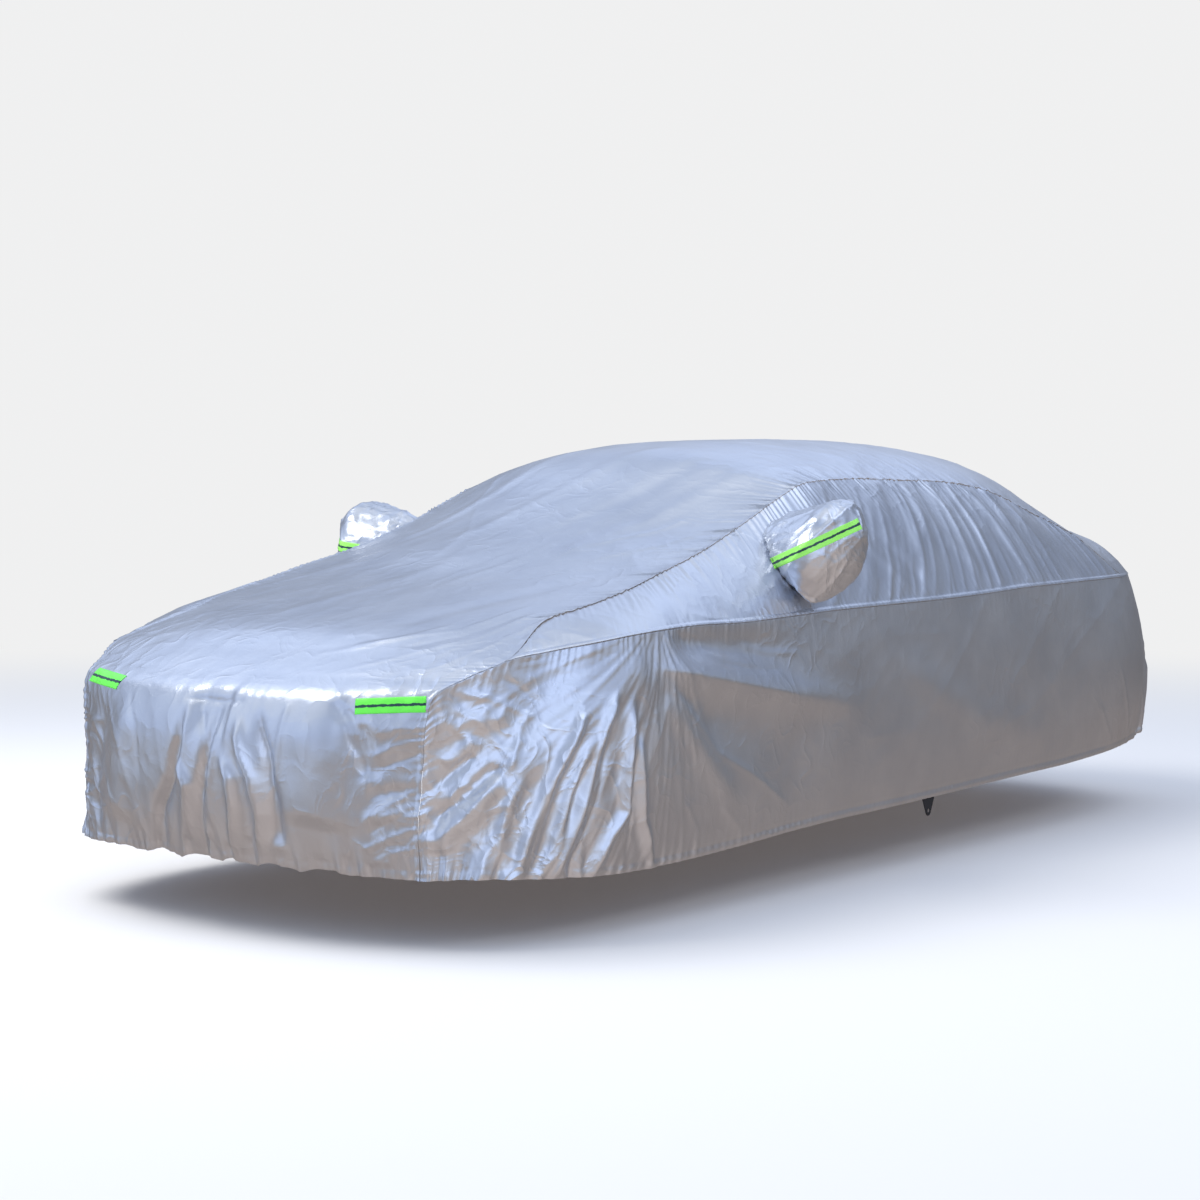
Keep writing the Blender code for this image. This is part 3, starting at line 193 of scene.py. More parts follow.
FOLD_FADES = dict(side=(0.14, 0.14), knee=(0.14, 0.45), front=(0.30, 0.14), top=(0.14, 0.14))
# The far flank has the same folds and creases, a little moved, and smaller.
FAR_FLANK = dict(shift=0.045, lift=-0.012, fold_share=0.55, crease_share=0.7)

# Sharp creases that are too narrow for the solids, in the same planes as the main folds. Columns: zone,
# height, width, points.
CREASES = (
    ("front", -0.0081, 0.008,
     ((-0.10, 0.64), (-0.11, 0.53), (-0.14, 0.41), (-0.21, 0.34), (-0.27, 0.26), (-0.29, 0.18))),
    ("front", 0.00607, 0.007, ((-0.075, 0.62), (-0.09, 0.52), (-0.115, 0.43), (-0.18, 0.35))),
    ("front", 0.00945, 0.007, ((-0.11, 0.47), (-0.08, 0.39), (-0.11, 0.27), (-0.13, 0.16))),
    ("front", -0.0081, 0.007, ((-0.06, 0.63), (-0.02, 0.54), (-0.03, 0.42), (-0.06, 0.34))),
    ("front", -0.0081, 0.007, ((0.02, 0.64), (0.01, 0.55), (-0.01, 0.48), (-0.03, 0.42))),
    ("front", 0.00675, 0.006, ((0.045, 0.63), (0.035, 0.55), (0.015, 0.47), (-0.01, 0.38), (-0.02, 0.26))),
    ("front", 0.01013, 0.007, ((0.05, 0.50), (0.09, 0.43), (0.09, 0.36), (0.04, 0.20))),
    ("front", 0.01215, 0.008, ((0.10, 0.61), (0.14, 0.52), (0.18, 0.44), (0.19, 0.34), (0.16, 0.20))),
    ("front", -0.0108, 0.008, ((0.17, 0.63), (0.215, 0.52), (0.235, 0.40), (0.205, 0.24))),
    ("front", 0.0054, 0.006, ((0.28, 0.66), (0.27, 0.55), (0.24, 0.38))),
    ("front", 0.0060, 0.008, ((0.38, 0.70), (0.48, 0.62), (0.52, 0.49), (0.51, 0.38))),
    ("front", -0.0060, 0.007, ((0.40, 0.66), (0.46, 0.59), (0.49, 0.50))),
    ("front", 0.0110, 0.030, ((0.42, 0.60), (0.55, 0.592), (0.69, 0.585))),
    ("front", 0.0045, 0.007, ((0.49, 0.33), (0.57, 0.385), (0.665, 0.44))),
    ("front", 0.0042, 0.007, ((0.48, 0.255), (0.58, 0.30), (0.665, 0.335))),
    ("front", -0.0035, 0.006, ((0.50, 0.30), (0.58, 0.345), (0.665, 0.39))),
    ("front", 0.0035, 0.007, ((0.46, 0.20), (0.56, 0.25), (0.66, 0.285))),
    ("front", -0.0040, 0.007, ((0.53, 0.47), (0.60, 0.50), (0.67, 0.53))),
    ("front", 0.0040, 0.007, ((0.52, 0.505), (0.59, 0.54), (0.67, 0.56))),
    ("front", -0.0081, 0.010, ((-0.12, 0.64), (0.00, 0.633), (0.12, 0.64))),
    ("front", 0.0030, 0.007, ((-0.60, 0.58), (-0.50, 0.45), (-0.42, 0.28))),
    ("front", 0.0030, 0.007, ((-0.50, 0.64), (-0.38, 0.50), (-0.33, 0.34))),
    ("front", -0.0030, 0.007, ((-0.36, 0.66), (-0.30, 0.55), (-0.29, 0.40))),
    ("front", -0.0070, 0.007, ((-0.34, 0.12), (-0.335, 0.27))),
    ("front", -0.0081, 0.006, ((-0.29, 0.12), (-0.275, 0.25))),
    ("front", -0.00945, 0.007, ((-0.13, 0.12), (-0.125, 0.26))),
    ("front", -0.00945, 0.007, ((-0.05, 0.12), (-0.05, 0.27))),
    ("front", -0.00945, 0.007, ((0.04, 0.12), (0.03, 0.25))),
    ("front", -0.00945, 0.007, ((0.12, 0.12), (0.125, 0.28))),
    ("front", -0.0081, 0.006, ((0.23, 0.12), (0.225, 0.25))),
    ("front", -0.0060, 0.007, ((0.34, 0.12), (0.35, 0.24))),
    ("front", -0.0070, 0.007, ((0.42, 0.12), (0.44, 0.25))),
    ("front", -0.0070, 0.007, ((0.52, 0.12), (0.50, 0.24))),
    ("side", 0.0070, 0.008, ((1.78, 0.67), (1.84, 0.58), (1.90, 0.42), (1.95, 0.28), (1.99, 0.16))),
    ("side", 0.0070, 0.007, ((1.74, 0.64), (1.76, 0.48), (1.77, 0.34), (1.82, 0.28), (1.87, 0.15))),
    ("side", 0.0060, 0.007, ((1.72, 0.54), (1.70, 0.42), (1.69, 0.31), (1.61, 0.16))),
    ("side", 0.0060, 0.007, ((1.88, 0.56), (1.95, 0.41), (1.99, 0.27), (2.03, 0.17))),
    ("side", 0.0060, 0.007, ((1.88, 0.65), (1.94, 0.54), (1.99, 0.45), (2.02, 0.35), (2.08, 0.17))),
    ("side", 0.0050, 0.007, ((2.07, 0.44), (2.09, 0.39), (2.12, 0.31), (2.16, 0.17))),
    ("side", 0.0110, 0.030, ((2.30, 0.59), (2.18, 0.60), (2.04, 0.615))),
    ("side", 0.0050, 0.007, ((2.20, 0.685), (2.10, 0.655), (1.98, 0.60))),
    ("side", 0.0045, 0.006, ((2.24, 0.66), (2.14, 0.60), (2.06, 0.48))),
    ("side", -0.0040, 0.006, ((2.10, 0.72), (2.04, 0.69), (1.97, 0.64))),
    ("side", 0.0042, 0.009, ((2.08, 0.49), (2.19, 0.36), (2.27, 0.27))),
    ("side", -0.0042, 0.008, ((2.10, 0.51), (2.20, 0.41), (2.26, 0.34))),
    ("side", 0.0050, 0.006, ((2.03, 0.61), (2.09, 0.46))),
    ("side", -0.0055, 0.006, ((1.81, 0.56), (1.855, 0.42), (1.90, 0.30), (1.95, 0.18))),
    ("side", -0.0055, 0.006, ((1.90, 0.50), (1.96, 0.35), (2.02, 0.22))),
    ("side", -0.0050, 0.006, ((1.70, 0.60), (1.73, 0.45), (1.74, 0.32), (1.75, 0.18))),
    ("side", 0.0045, 0.010, ((1.62, 0.71), (1.50, 0.60), (1.34, 0.47), (1.14, 0.38), (0.89, 0.25))),
    ("side", 0.0050, 0.010, ((1.66, 0.73), (1.45, 0.70), (1.22, 0.66), (0.90, 0.61))),
    ("side", 0.0035, 0.007, ((1.42, 0.765), (1.28, 0.735), (1.12, 0.715))),
    ("side", -0.0035, 0.007, ((1.36, 0.73), (1.16, 0.70), (0.98, 0.69))),
    ("side", 0.0030, 0.007, ((1.20, 0.775), (1.05, 0.745), (0.86, 0.735))),
    ("side", 0.0035, 0.006, ((1.52, 0.36), (1.42, 0.26), (1.40, 0.15))),
    ("side", 0.0030, 0.006, ((1.33, 0.32), (1.20, 0.24), (1.16, 0.15))),
    ("side", 0.0030, 0.008, ((-1.48, 0.61), (-1.71, 0.26))),
    ("side", 0.0030, 0.008, ((-1.31, 0.46), (-1.50, 0.26))),
    ("top", 0.0040, 0.008, ((1.72, 0.66), (2.00, 0.61), (2.18, 0.44), (2.27, 0.31))),
    ("top", -0.0030, 0.008, ((1.76, 0.63), (2.00, 0.565), (2.14, 0.42))),
    ("top", 0.0040, 0.007, ((1.76, 0.70), (2.00, 0.68), (2.14, 0.62), (2.24, 0.55))),
    ("top", 0.0035, 0.008, ((1.68, 0.60), (1.97, 0.53), (2.14, 0.32), (2.21, 0.15))),
    ("top", 0.0035, 0.007, ((1.91, 0.51), (2.08, 0.40), (2.16, 0.25))),
    ("top", 0.0035, 0.010, ((1.28, 0.44), (1.07, 0.57), (0.88, 0.62))),
    ("top", 0.0035, 0.009, ((1.18, 0.36), (1.00, 0.47), (0.82, 0.54))),
    ("top", 0.0030, 0.010, ((1.36, -0.12), (1.08, -0.18), (0.79, -0.38), (0.45, -0.52))),
    ("top", 0.0025, 0.012, ((1.60, 0.10), (1.30, 0.22), (0.95, 0.28))),
    ("side", 0.0040, 0.007, ((-1.90, 0.52), (-1.95, 0.36), (-1.96, 0.22))),
    ("side", 0.0045, 0.007, ((-2.02, 0.70), (-2.08, 0.50), (-2.03, 0.32))),
)
CREASE_SWAY = 0.011
CREASE_FADE = 0.18

# Height of the belt seam along the cover, for masks: x and z.
BELT = ((-2.3, -1.0, 1.0, 2.1), (0.93, 0.91, 0.84, 0.76))
CREASE_BELT = ((-2.3, -1.0, 1.0, 2.1, 2.3), (0.93, 0.91, 0.84, 0.74, 0.69))
# Gathers along the elastic hem: waves round the front and the back corners, uneven in pitch.
GATHER = dict(height=0.007, reach=0.075, pitch=0.094)
GATHERED_HEM = ((-2.3, -1.5, 1.6, 2.3), (0.36, 0.25, 0.17, 0.21))
CASING = dict(roll=0.0024, groove=-0.0020, groove_place=0.026, ruche=0.0018, ruche_pitch=0.031)
SCALLOP = dict(height=0.0055, pitch=0.17, small_pitch=0.075, reach=0.05)

# Seam puckers: short gathers across each seam. Columns: station, height, reach away from the seam.
BELT_PUCKERS = (
    (0, 0.0036, 0.05), (2, 0.0032, 0.045), (4, 0.0026, 0.04), (6, 0.0026, 0.045), (9, 0.0022, 0.04),
    (13, 0.0018, 0.04), (17, 0.0014, 0.03), (REAR_JUNCTION, 0.0, 0.03),
)
TOP_PUCKERS = (
    (0, 0.0035, 0.06), (3, 0.0045, 0.08), (5, 0.0045, 0.09), (7, 0.0060, 0.10), (9, 0.0050, 0.09),
    (12, 0.0055, 0.07), (15, 0.0050, 0.06), (REAR_JUNCTION - 1, 0.0035, 0.05), (REAR_JUNCTION, 0.0, 0.05),
)
CORNER_PUCKERS = ((0, 0.0030, 0.030), (3, 0.0038, 0.035), (5, 0.0042, 0.04), (6, 0.0036, 0.04))
PUCKER_PITCH = 0.024
RIGHT_TOP_SHIFT = 0.013                    # the right half's puckers start this much further along
RIGHT_BELT_SHIFT = 0.011
BAND_TUCK = 0.001                          # how far a doubled row is tucked under
SKIRT_TUCK = 0.0012
BELT_WELT = (0.0055, 0.012)                # height and width of the raised edge at the belt seam
TOP_WELT = (0.0026, 0.012)

# Grid spacing: how many stations in turn, and the distance between grid lines there.
CENTRE_SPACING = ((6, 0.0055), (9, 0.0095), (5, 0.016), (5, 0.013))
SKIRT_SPACING = ((LEAD + 4, 0.0055), (2, 0.008), (13, 0.0105))
BAND_SPACING = ((REAR_JUNCTION, 0.0075),)
SKIRT_ROW_SPACING = ((CORNER, 0.0052),)
HALF_COLUMNS = 95                          # of the centre panel, from the middle line to its edge
BAND_ROWS = 66
TAIL_COLUMNS = 64                          # of a skirt, from the rear corner to the middle of the back
CROWDING = 1.35                            # lines crowd towards a seam by this power
SEAM_REACH = 0.03                          # the film's creasing dies out this near a seam
TOP_START = (0.66, 0.1)                    # height at which the fascia's creasing gives way to the top's

# Heights of the film's own creasing, panel by panel.
TOP_FILM = dict(streaks=0.0034, fine=0.0014, crushed_nose=0.0032)
BAND_FILM = dict(wide=0.0085, fine=0.0036, pillar=0.0030)
SIDE_FILM = dict(fan=0.0058, fan_fine=0.0028, upright_middle=0.0060, upright=0.0014, crushed_corner=0.0058,
                 calm=0.0022, calm_fine=0.0009)
FAN_CENTRE = (1.58, 0.86)                  # x and z of the knee that the flank's fan of creases runs from
POCKET_FILM = dict(folds=0.0110, fine=0.0030, gathers=0.0022, hem=0.0025)
RIDGE_MEAN = 0.3

# Mirror pocket: sections from the sewn rim to the closed end, as offsets from the rim centre. Columns: dx,
# dy, dz, half width, half height, and the lean of the section.
POCKET_CENTRE = (0.742, 0.845, 1.027)
POCKET = (
    (-0.030, 0.000, -0.010, 0.106, 0.108, 0.36),
    (-0.024, 0.038, 0.003, 0.124, 0.132, 0.36),
    (-0.018, 0.080, 0.017, 0.142, 0.154, 0.36),
    (-0.026, 0.122, 0.028, 0.140, 0.153, 0.24),
    (-0.040, 0.158, 0.035, 0.116, 0.127, 0.10),
    (-0.053, 0.186, 0.038, 0.076, 0.088, 0.00),
    (-0.060, 0.201, 0.037, 0.036, 0.044, 0.00),
    (-0.063, 0.206, 0.036, 0.000, 0.000, 0.00),
)
POCKET_RINGS = 84
POCKET_AROUND = 128
POCKET_EASE = 0.085                        # the pocket leaves the shape of the flank over this distance
POCKET_END = (-0.25, 1.0, 0.05)            # which way the closed end faces
WIDE_RING = 30                             # a ring on the wide part, to tell the outside from the inside
POCKET_CRUMPLE = 0.6
MOUTH_INSET = 0.012                        # the band's opening lies this far inside the pocket's rim

# Reflective strips: front ones by y and z on the nose, pocket ones by x, y and z near the pocket.
STRIP_FRONT = dict(left=((0.478, 0.640), (0.660, 0.651)), right=((0.435, 0.662), (0.630, 0.674)))
STRIP_MIRROR = dict(
    left=((0.915, 0.870, 1.003), (0.655, 1.025, 1.128)),
    right=((0.895, 0.875, 1.026), (0.655, 1.030, 1.074)),
)
FRONT_FACING = np.array((0.88, 0.45, 0.15))    # which way a left strip faces
POCKET_FACING = np.array((0.86, 0.51, 0.0))
STRIP_LIFT = 0.0006
STRIP_THICKNESS = 0.0008
STRIP_STEP = 0.003
STRIP_LINES = 12                           # cells across a strip

# Hem tab: its outline below the hem as half widths and heights above the tip, and its parts.
TAB_TIP = ((0.017, 0.010), (0.0115, 0.0035), (0.006, 0.0))
TAB = dict(lap=0.022, lap_back=0.0012, set_back=0.0035, eye_height=0.017, hole=0.0065, thickness=0.0018,
           bevel=0.0004)
TAB_DIRECTIONS = 48                        # rays from the eyelet to the outline, besides its corners
TAB_RINGS = (0.0, 0.06, 0.14, 0.3, 0.55, 0.8, 1.0)
TAB_RISE = (0.0008, 0.0010, 0.0004, 0.0, 0.0, 0.0, 0.0)   # raised rim of the eyelet, ring by ring

CAMERA_PLACE = (7.0294, 4.4757, -0.3125)
CAMERA_TURN = dict(yaw=-2.507, pitch=-0.0334, roll=0.0045)

# Studio surroundings, by sine of the height angle: warm below, dim at the horizon, soft blue above it and
# bright overhead.
SURROUNDINGS = (
    (-1.00, (0.34, 0.28, 0.25)),
    (-0.16, (0.41, 0.34, 0.30)),
    (-0.04, (0.28, 0.26, 0.255)),
    (0.05, (0.29, 0.285, 0.295)),
    (0.19, (0.395, 0.425, 0.49)),
    (0.45, (0.43, 0.505, 0.69)),
    (0.76, (0.58, 0.68, 0.90)),
    (0.92, (0.74, 0.81, 0.95)),
    (1.00, (0.86, 0.91, 1.02)),
)
# Directions in which the surroundings are darker or lighter than the table, with how much and how wide.
SIDES = (
    ((-0.80, 0.55, 0.22), -0.36, 0.40),
    ((0.75, -0.65, 0.08), 0.36, 0.55),
    ((0.25, -0.96, 0.00), -0.30, 0.78),
    ((0.97, 0.15, 0.02), -0.04, 0.60),
    ((0.25, 0.95, 0.15), 0.30, 0.60),
    ((-0.78, -0.58, 0.25), -0.32, 0.45),
    ((0.50, -0.32, 0.80), -0.30, 0.55),
    ((-0.30, -0.75, 0.59), 0.70, 0.94),
    ((-0.80, -0.38, 0.46), 0.80, 0.92),
    ((-0.76, -0.05, 0.65), 0.60, 0.95),
    ((-0.50, 0.85, 0.20), 0.40, 0.90),
    ((-0.25, 0.45, 0.85), 0.90, 0.84),
    ((0.15, -0.50, 0.85), 0.16, 0.84),
    ((-0.22, -0.42, 0.88), 0.16, 0.93),
    ((0.30, 0.70, -0.65), 0.40, 0.45),
    ((0.55, 0.76, 0.34), 0.75, 0.88),
)
# Directions in which the warm ground starts lower, with how much lower and how wide.
LOW_HORIZON = (
    ((0.80, -0.60, 0.0), 0.42, 0.40),
    ((0.60, 0.80, 0.0), 0.12, 0.5),
)
BACKDROP_LIGHT = (0.87, 0.872, 0.875)
# Area lamps: place, size, watts and colour, and whether the film mirrors them.
LIGHTS = (
    ("light_above", (3.4, -3.0, 4.2), (2.0, 2.0), 40, (1.0, 0.99, 0.97), True),
    ("light_fill", (3.2, -2.6, 5.2), (5.0, 5.0), 330, (1.0, 0.98, 0.95), False),
    ("light_side", (1.0, 7.0, 3.8), (5.0, 1.6), 60, (1.0, 0.97, 0.94), False),
)
LAMP_AIM = (0.8, 0.0, -0.6)                # the place that every lamp points at
# Floor and backdrop: bend is the radius where the wall leaves the floor, and rows go up the wall.
ROOM = dict(radius=30.0, sides=64, bend=4, bend_steps=8, rows=13)


def table(columns, rows):
    """The rows as one array for each named column."""
    return {name: np.array([row[i] for row in rows]) for i, name in enumerate(columns.split())}


def picked(source, names):
    """Columns of a table side by side."""
    return np.stack([source[name] for name in names.split()], 1)


upper = table(STATION_COLUMNS, STATIONS)
lower = table(LOWER_COLUMNS, LOWER)
LINE_C = np.stack([upper["cx"], 0 * upper["cx"], upper["cz"]], 1)
LINE_E = picked(upper, "ex ey ez")
POWERS = picked(upper, "px pz")
LINE_T = np.concatenate([LINE_E[CORNER:JUNCTION], picked(lower, "tx ty tz")])
LINE_H = np.concatenate([CORNER_HEM, picked(lower, "hx hy hz")])
BULGE = np.concatenate([np.zeros((LEAD, 2)), picked(lower, "b1 b2")])


def xyz(p):
    return p[..., 0], p[..., 1], p[..., 2]


def span(a, b):
    """Distance between points."""
    return np.linalg.norm(a - b, axis=-1)


def unit(v):
    return v / np.maximum(np.linalg.norm(v, axis=-1), 1e-9)[..., None]


def chord(points):
    """Length run along a line of points, at each of them."""
    return np.concatenate([[0], np.cumsum(span(points[1:], points[:-1]))])


def spline(knots, values, t):
    """Cubic curve through the rows of values, with slopes from the rows on each side."""
    h = np.diff(knots)[:, None]
    d = np.diff(values, axis=0) / h
    m = np.empty_like(values)
    m[1:-1] = (d[:-1] * h[1:] + d[1:] * h[:-1]) / (h[1:] + h[:-1])
    m[0] = 1.5 * d[0] - 0.5 * m[1]
    m[-1] = 1.5 * d[-1] - 0.5 * m[-2]
    k = np.clip(np.searchsorted(knots, t, side="right") - 1, 0, len(knots) - 2)
    hk = h[k][..., 0, None]
    s = ((t - knots[k])[..., None]) / hk
    first = (2 * s**3 - 3 * s**2 + 1) * values[k] + (s**3 - 2 * s**2 + s) * hk * m[k]
    return first + (-2 * s**3 + 3 * s**2) * values[k + 1] + (s**3 - s**2) * hk * m[k + 1]


KNOTS_U = (chord(LINE_C) + chord(LINE_E)) / 2
KNOTS_S = (chord(LINE_T) + chord(LINE_H)) / 2


def along(knots, values, index):
    """A line at fractional station numbers."""
    return spline(knots, values, np.interp(index, np.arange(len(knots)), knots))


def smooth(x):
    """0 below 0, 1 above 1, and an even step between."""
    x = np.clip(x, 0.0, 1.0)
    return x * x * (3 - 2 * x)


# The smooth cover ----------------------------------------------------------------------------------------

def top_edge(u):
    """Edge of the centre panel: corner seam, top seam, and past the rear junction the belt seam itself."""
    behind = along(KNOTS_S, LINE_T, np.clip(u - CORNER, 0, LAST))
    return np.where((u >= JUNCTION + REAR_JUNCTION)[..., None], behind, along(KNOTS_U, LINE_E, u))


def centre_panel(u, v):
    """u is the fractional station from the front hem, v runs from -1 on the right seam to 1 on the left."""
    c = along(KNOTS_U, LINE_C, u)
    e = top_edge(u)
    power = along(KNOTS_U, POWERS, u)
    x, z = (c[..., k] + (e[..., k] - c[..., k]) * np.abs(v) ** power[..., k // 2] for k in (0, 2))
    return np.stack([x, e[..., 1] * v, z], -1)


def outward(points):
    """Level direction away from the middle, square to a line that runs from the nose to the tail."""
    t = np.gradient(points, axis=0)
    return unit(np.stack([t[:, 1], -t[:, 0], 0 * t[:, 0]], 1))


def skirt_lines(s, tail_v):
    """Belt line, hem line, outward direction and bulges of the left skirt at its columns.

    s holds fractional stations from CORNER on; tail_v holds the cross positions from the rear corner to
    the middle of the back, where the belt line is the last row of the centre panel.
    """
    belt = np.where((s < LEAD)[:, None], top_edge(CORNER + s), along(KNOTS_S, LINE_T, s))
    back = centre_panel(np.full(len(tail_v), float(len(STATIONS) - 1)), tail_v)
    corner = LINE_H[-1]
    hem_back = np.stack([
        TAIL_HEM[0] + (corner[0] - TAIL_HEM[0]) * tail_v ** POWERS[-1][0],
        corner[1] * tail_v,
        TAIL_HEM[1] + (corner[2] - TAIL_HEM[1]) * tail_v ** 2,
    ], 1)
    belt = np.concatenate([belt, back])
    hem = np.concatenate([along(KNOTS_S, LINE_H, s), hem_back])
    bulge = np.concatenate([along(KNOTS_S, BULGE, s), np.repeat(BULGE[-1:], len(tail_v), axis=0)])
    out = outward((belt + hem) / 2)
    out[-1] = (-1.0, 0.0, 0.0)
    return belt, hem, out, bulge


def skirt(s, tail_v, j):
    """Left skirt on a grid: columns from the corner seam to the middle of the back, rows j of the fascia."""
    belt, hem, out, bulge = skirt_lines(s, tail_v)
    seam = along(KNOTS_U, LINE_E, j)
    b = (seam[:, 2] - seam[0, 2]) / (LINE_E[CORNER, 2] - seam[0, 2])
    grid = hem[:, None] + (belt - hem)[:, None] * b[None, :, None]
    low = b * (1 - b) ** 2
    high = b * b * (1 - b)
    stand = THIRD_PEAK * (bulge[:, :1] * low[None] + bulge[:, 1:] * high[None])
    grid = grid + out[:, None] * stand[..., None]
    fade = (1 - smooth(chord((belt + hem) / 2) / CORNER_EASE))[:, None, None]
    straight = hem[:1] + (belt[:1] - hem[:1]) * b[:, None]
    return grid + fade * (seam - straight)[None]


def band(s, q):
    """Left window band panel: columns along the side stations, rows q from the belt seam to the top seam."""
    belt = along(KNOTS_S, LINE_T, LEAD + s)
    across = top_edge(JUNCTION + s) - belt
    width = np.linalg.norm(across, axis=1)
    n = unit(np.cross(np.gradient(belt, axis=0), across))
    stand = BAND_BOW * width[:, None] * 4 * q[None] * (1 - q[None])
    return belt[:, None] + across[:, None] * q[None, :, None] + n[:, None] * stand[..., None]


def lift_direction(p):
    """Which way a fold stands out, from the position alone, so that panels move together at a seam."""
    x, y, z = xyz(p)
    fore = smooth((x - 1.85) / 0.55) - smooth((-x - 1.95) / 0.45)
    flank = np.sign(y) * np.clip(np.abs(y) / 0.92, 0, 1) ** 4
    depth = np.interp(x, (-2.3, -1.4, -0.6, 0.8, 1.6), (0.08, 0.30, 0.42, 0.30, 0.08))
    top = smooth((z - np.interp(x, *BELT)) / depth) * 1.2
    return unit(np.stack([fore * (1 - 0.6 * np.clip(top, 0, 1)), flank, top], -1))


# Folds and creases ---------------------------------------------------------------------------------------

def value_noise(x, y, z, seed):
    """Smooth repeatable noise from -1 to 1 on arrays."""
    xi, yi, zi = (np.floor(c).astype(np.int64) for c in (x, y, z))
    fx, fy, fz = smooth(x - xi), smooth(y - yi), smooth(z - zi)

    def corner(a, b, c):
        h = (a * 73856093) ^ (b * 19349663) ^ (c * 83492791) ^ (seed * 2654435761)
        h = (h ^ (h >> 13)) * 1274126177
        h = h ^ (h >> 16)
        return (h & 0xFFFF) / 32767.5 - 1

    total = 0
    for a in (0, 1):
        for b in (0, 1):
            for c in (0, 1):
                weight = (fx if a else 1 - fx) * (fy if b else 1 - fy) * (fz if c else 1 - fz)
                total = total + weight * corner(xi + a, yi + b, zi + c)
    return total


def ridges(x, y, seed):
    """Sharp soft-footed ridges about a mean of 0, from folded and bent noise on two coordinates."""
    bend = 0.45 * value_noise(0.7 * x + 3.1, 0.7 * y - 2.4, 0 * x, seed + 3)
    a = value_noise(x + bend, y - bend, 0 * x, seed)
    b = value_noise(2.1 * x + 5.2 - bend, 2.1 * y + 1.7, 0 * x, seed + 7)
    return (1 - np.abs(a)) ** 4 * 0.7 + (1 - np.abs(b)) ** 4 * 0.3 - RIDGE_MEAN


def line_distance(a, b, points):
    """Distance from each (a, b) to a broken line, and how far along it the nearest place is, 0 to 1."""
    best = np.full(a.shape, 1e9)
    share = np.zeros(a.shape)
    points = np.array(points, float)
    lengths = span(points[1:], points[:-1])
    total = lengths.sum()
    gone = 0.0
    for first, last, length in zip(points[:-1], points[1:], lengths):
        step = last - first
        t = np.clip(((a - first[0]) * step[0] + (b - first[1]) * step[1]) / length**2, 0, 1)
        d = np.hypot(a - first[0] - t * step[0], b - first[1] - t * step[1])
        share = np.where(d < best, (gone + t * length) / total, share)
        best = np.minimum(best, d)
        gone += length
    return best, share


def zone_masks(p, belt, front_reach):
    """How far each place belongs to the fascia, to the flanks and to the top, 0 to 1."""
    x, y, z = xyz(p)
    front = smooth((x - 2.02) / front_reach)
    flank = smooth((np.abs(y) - 0.55) / 0.16)
    return front, flank, smooth((z - np.interp(x, *belt) + 0.02) / 0.05)


def planes(zone, p, masks, sway, far_share):
    """The two coordinates and the mask of a zone's folds, for each part of the cover that has them."""
    x, y, z = xyz(p)
    front, flank, top = masks
    if zone == "front":
        return [(y + sway, z, front)]
    if zone == "top":
        return [(x, y + sway, top)]
    far = (x + sway - FAR_FLANK["shift"], z - FAR_FLANK["lift"], flank * (y < 0) * far_share)
    return [(x + sway, z, flank * (y > 0)), far]


def fold_height(p):
    """Sum of the main folds and the hem gathers at each point of the smooth cover."""
    front, flank, top = zone_masks(p, BELT, 0.20)
    height = gather_height(p)
    for zone, tall, wide_start, wide_end, points in FOLDS:
        start_fade, end_fade = FOLD_FADES[zone]
        for a, b, mask in planes(zone, p, (front * (1 - top), flank, top), 0.0, FAR_FLANK["fold_share"]):
            d, t = line_distance(a, b, points)
            wide = wide_start + (wide_end - wide_start) * t
            ends = smooth(t / start_fade) * smooth((1 - t) / end_fade)
            height += tall * ends * mask * np.exp(-((d / wide) ** 2))
    return height


def crease_height(p):
    """Sum of the sharp creases: each has a narrow crest and long soft feet, and wanders a little."""
    x, y, z = xyz(p)
    sway = CREASE_SWAY * value_noise(8 * x + 1.3, 8 * y, 8 * z, 71)
    masks = zone_masks(p, CREASE_BELT, 0.16)
    height = np.zeros(x.shape)
    for zone, tall, wide, points in CREASES:
        line = np.array(points, float)
        low = line.min(axis=0) - 6 * wide
        high = line.max(axis=0) + 6 * wide
        for a, b, mask in planes(zone, p, masks, sway, FAR_FLANK["crease_share"]):
            near = (a > low[0]) & (a < high[0]) & (b > low[1]) & (b < high[1]) & (mask > 0)
            if not near.any():
                continue
            d, t = line_distance(a[near], b[near], line)
            crest = np.exp(-np.sqrt(d**2 + (0.35 * wide) ** 2) / wide) * 1.4
            ends = smooth(t / CREASE_FADE) * smooth((1 - t) / CREASE_FADE)
            height[near] += tall * ends * mask[near] * crest
    return height


def gather_height(p):
    """Small waves where the elastic pulls the hem in, at the front and the back corners."""
    x, y, z = xyz(p)
    corners = smooth((x - 1.75) / 0.25) + smooth((-x - 1.55) / 0.30)
    near_hem = np.exp(-np.clip(z - np.interp(x, *GATHERED_HEM), 0, 1) / GATHER["reach"])
    way = y + 0.9 * np.sign(y) * np.clip(2.3 - np.abs(x), 0, 1)
    phase = 2 * np.pi * way / GATHER["pitch"]
    wave = np.sin(phase + 1.3 * np.sin(0.37 * phase + 0.8)) * (0.75 + 0.35 * np.sin(0.23 * phase + 2.0))
    return GATHER["height"] * wave * near_hem * corners


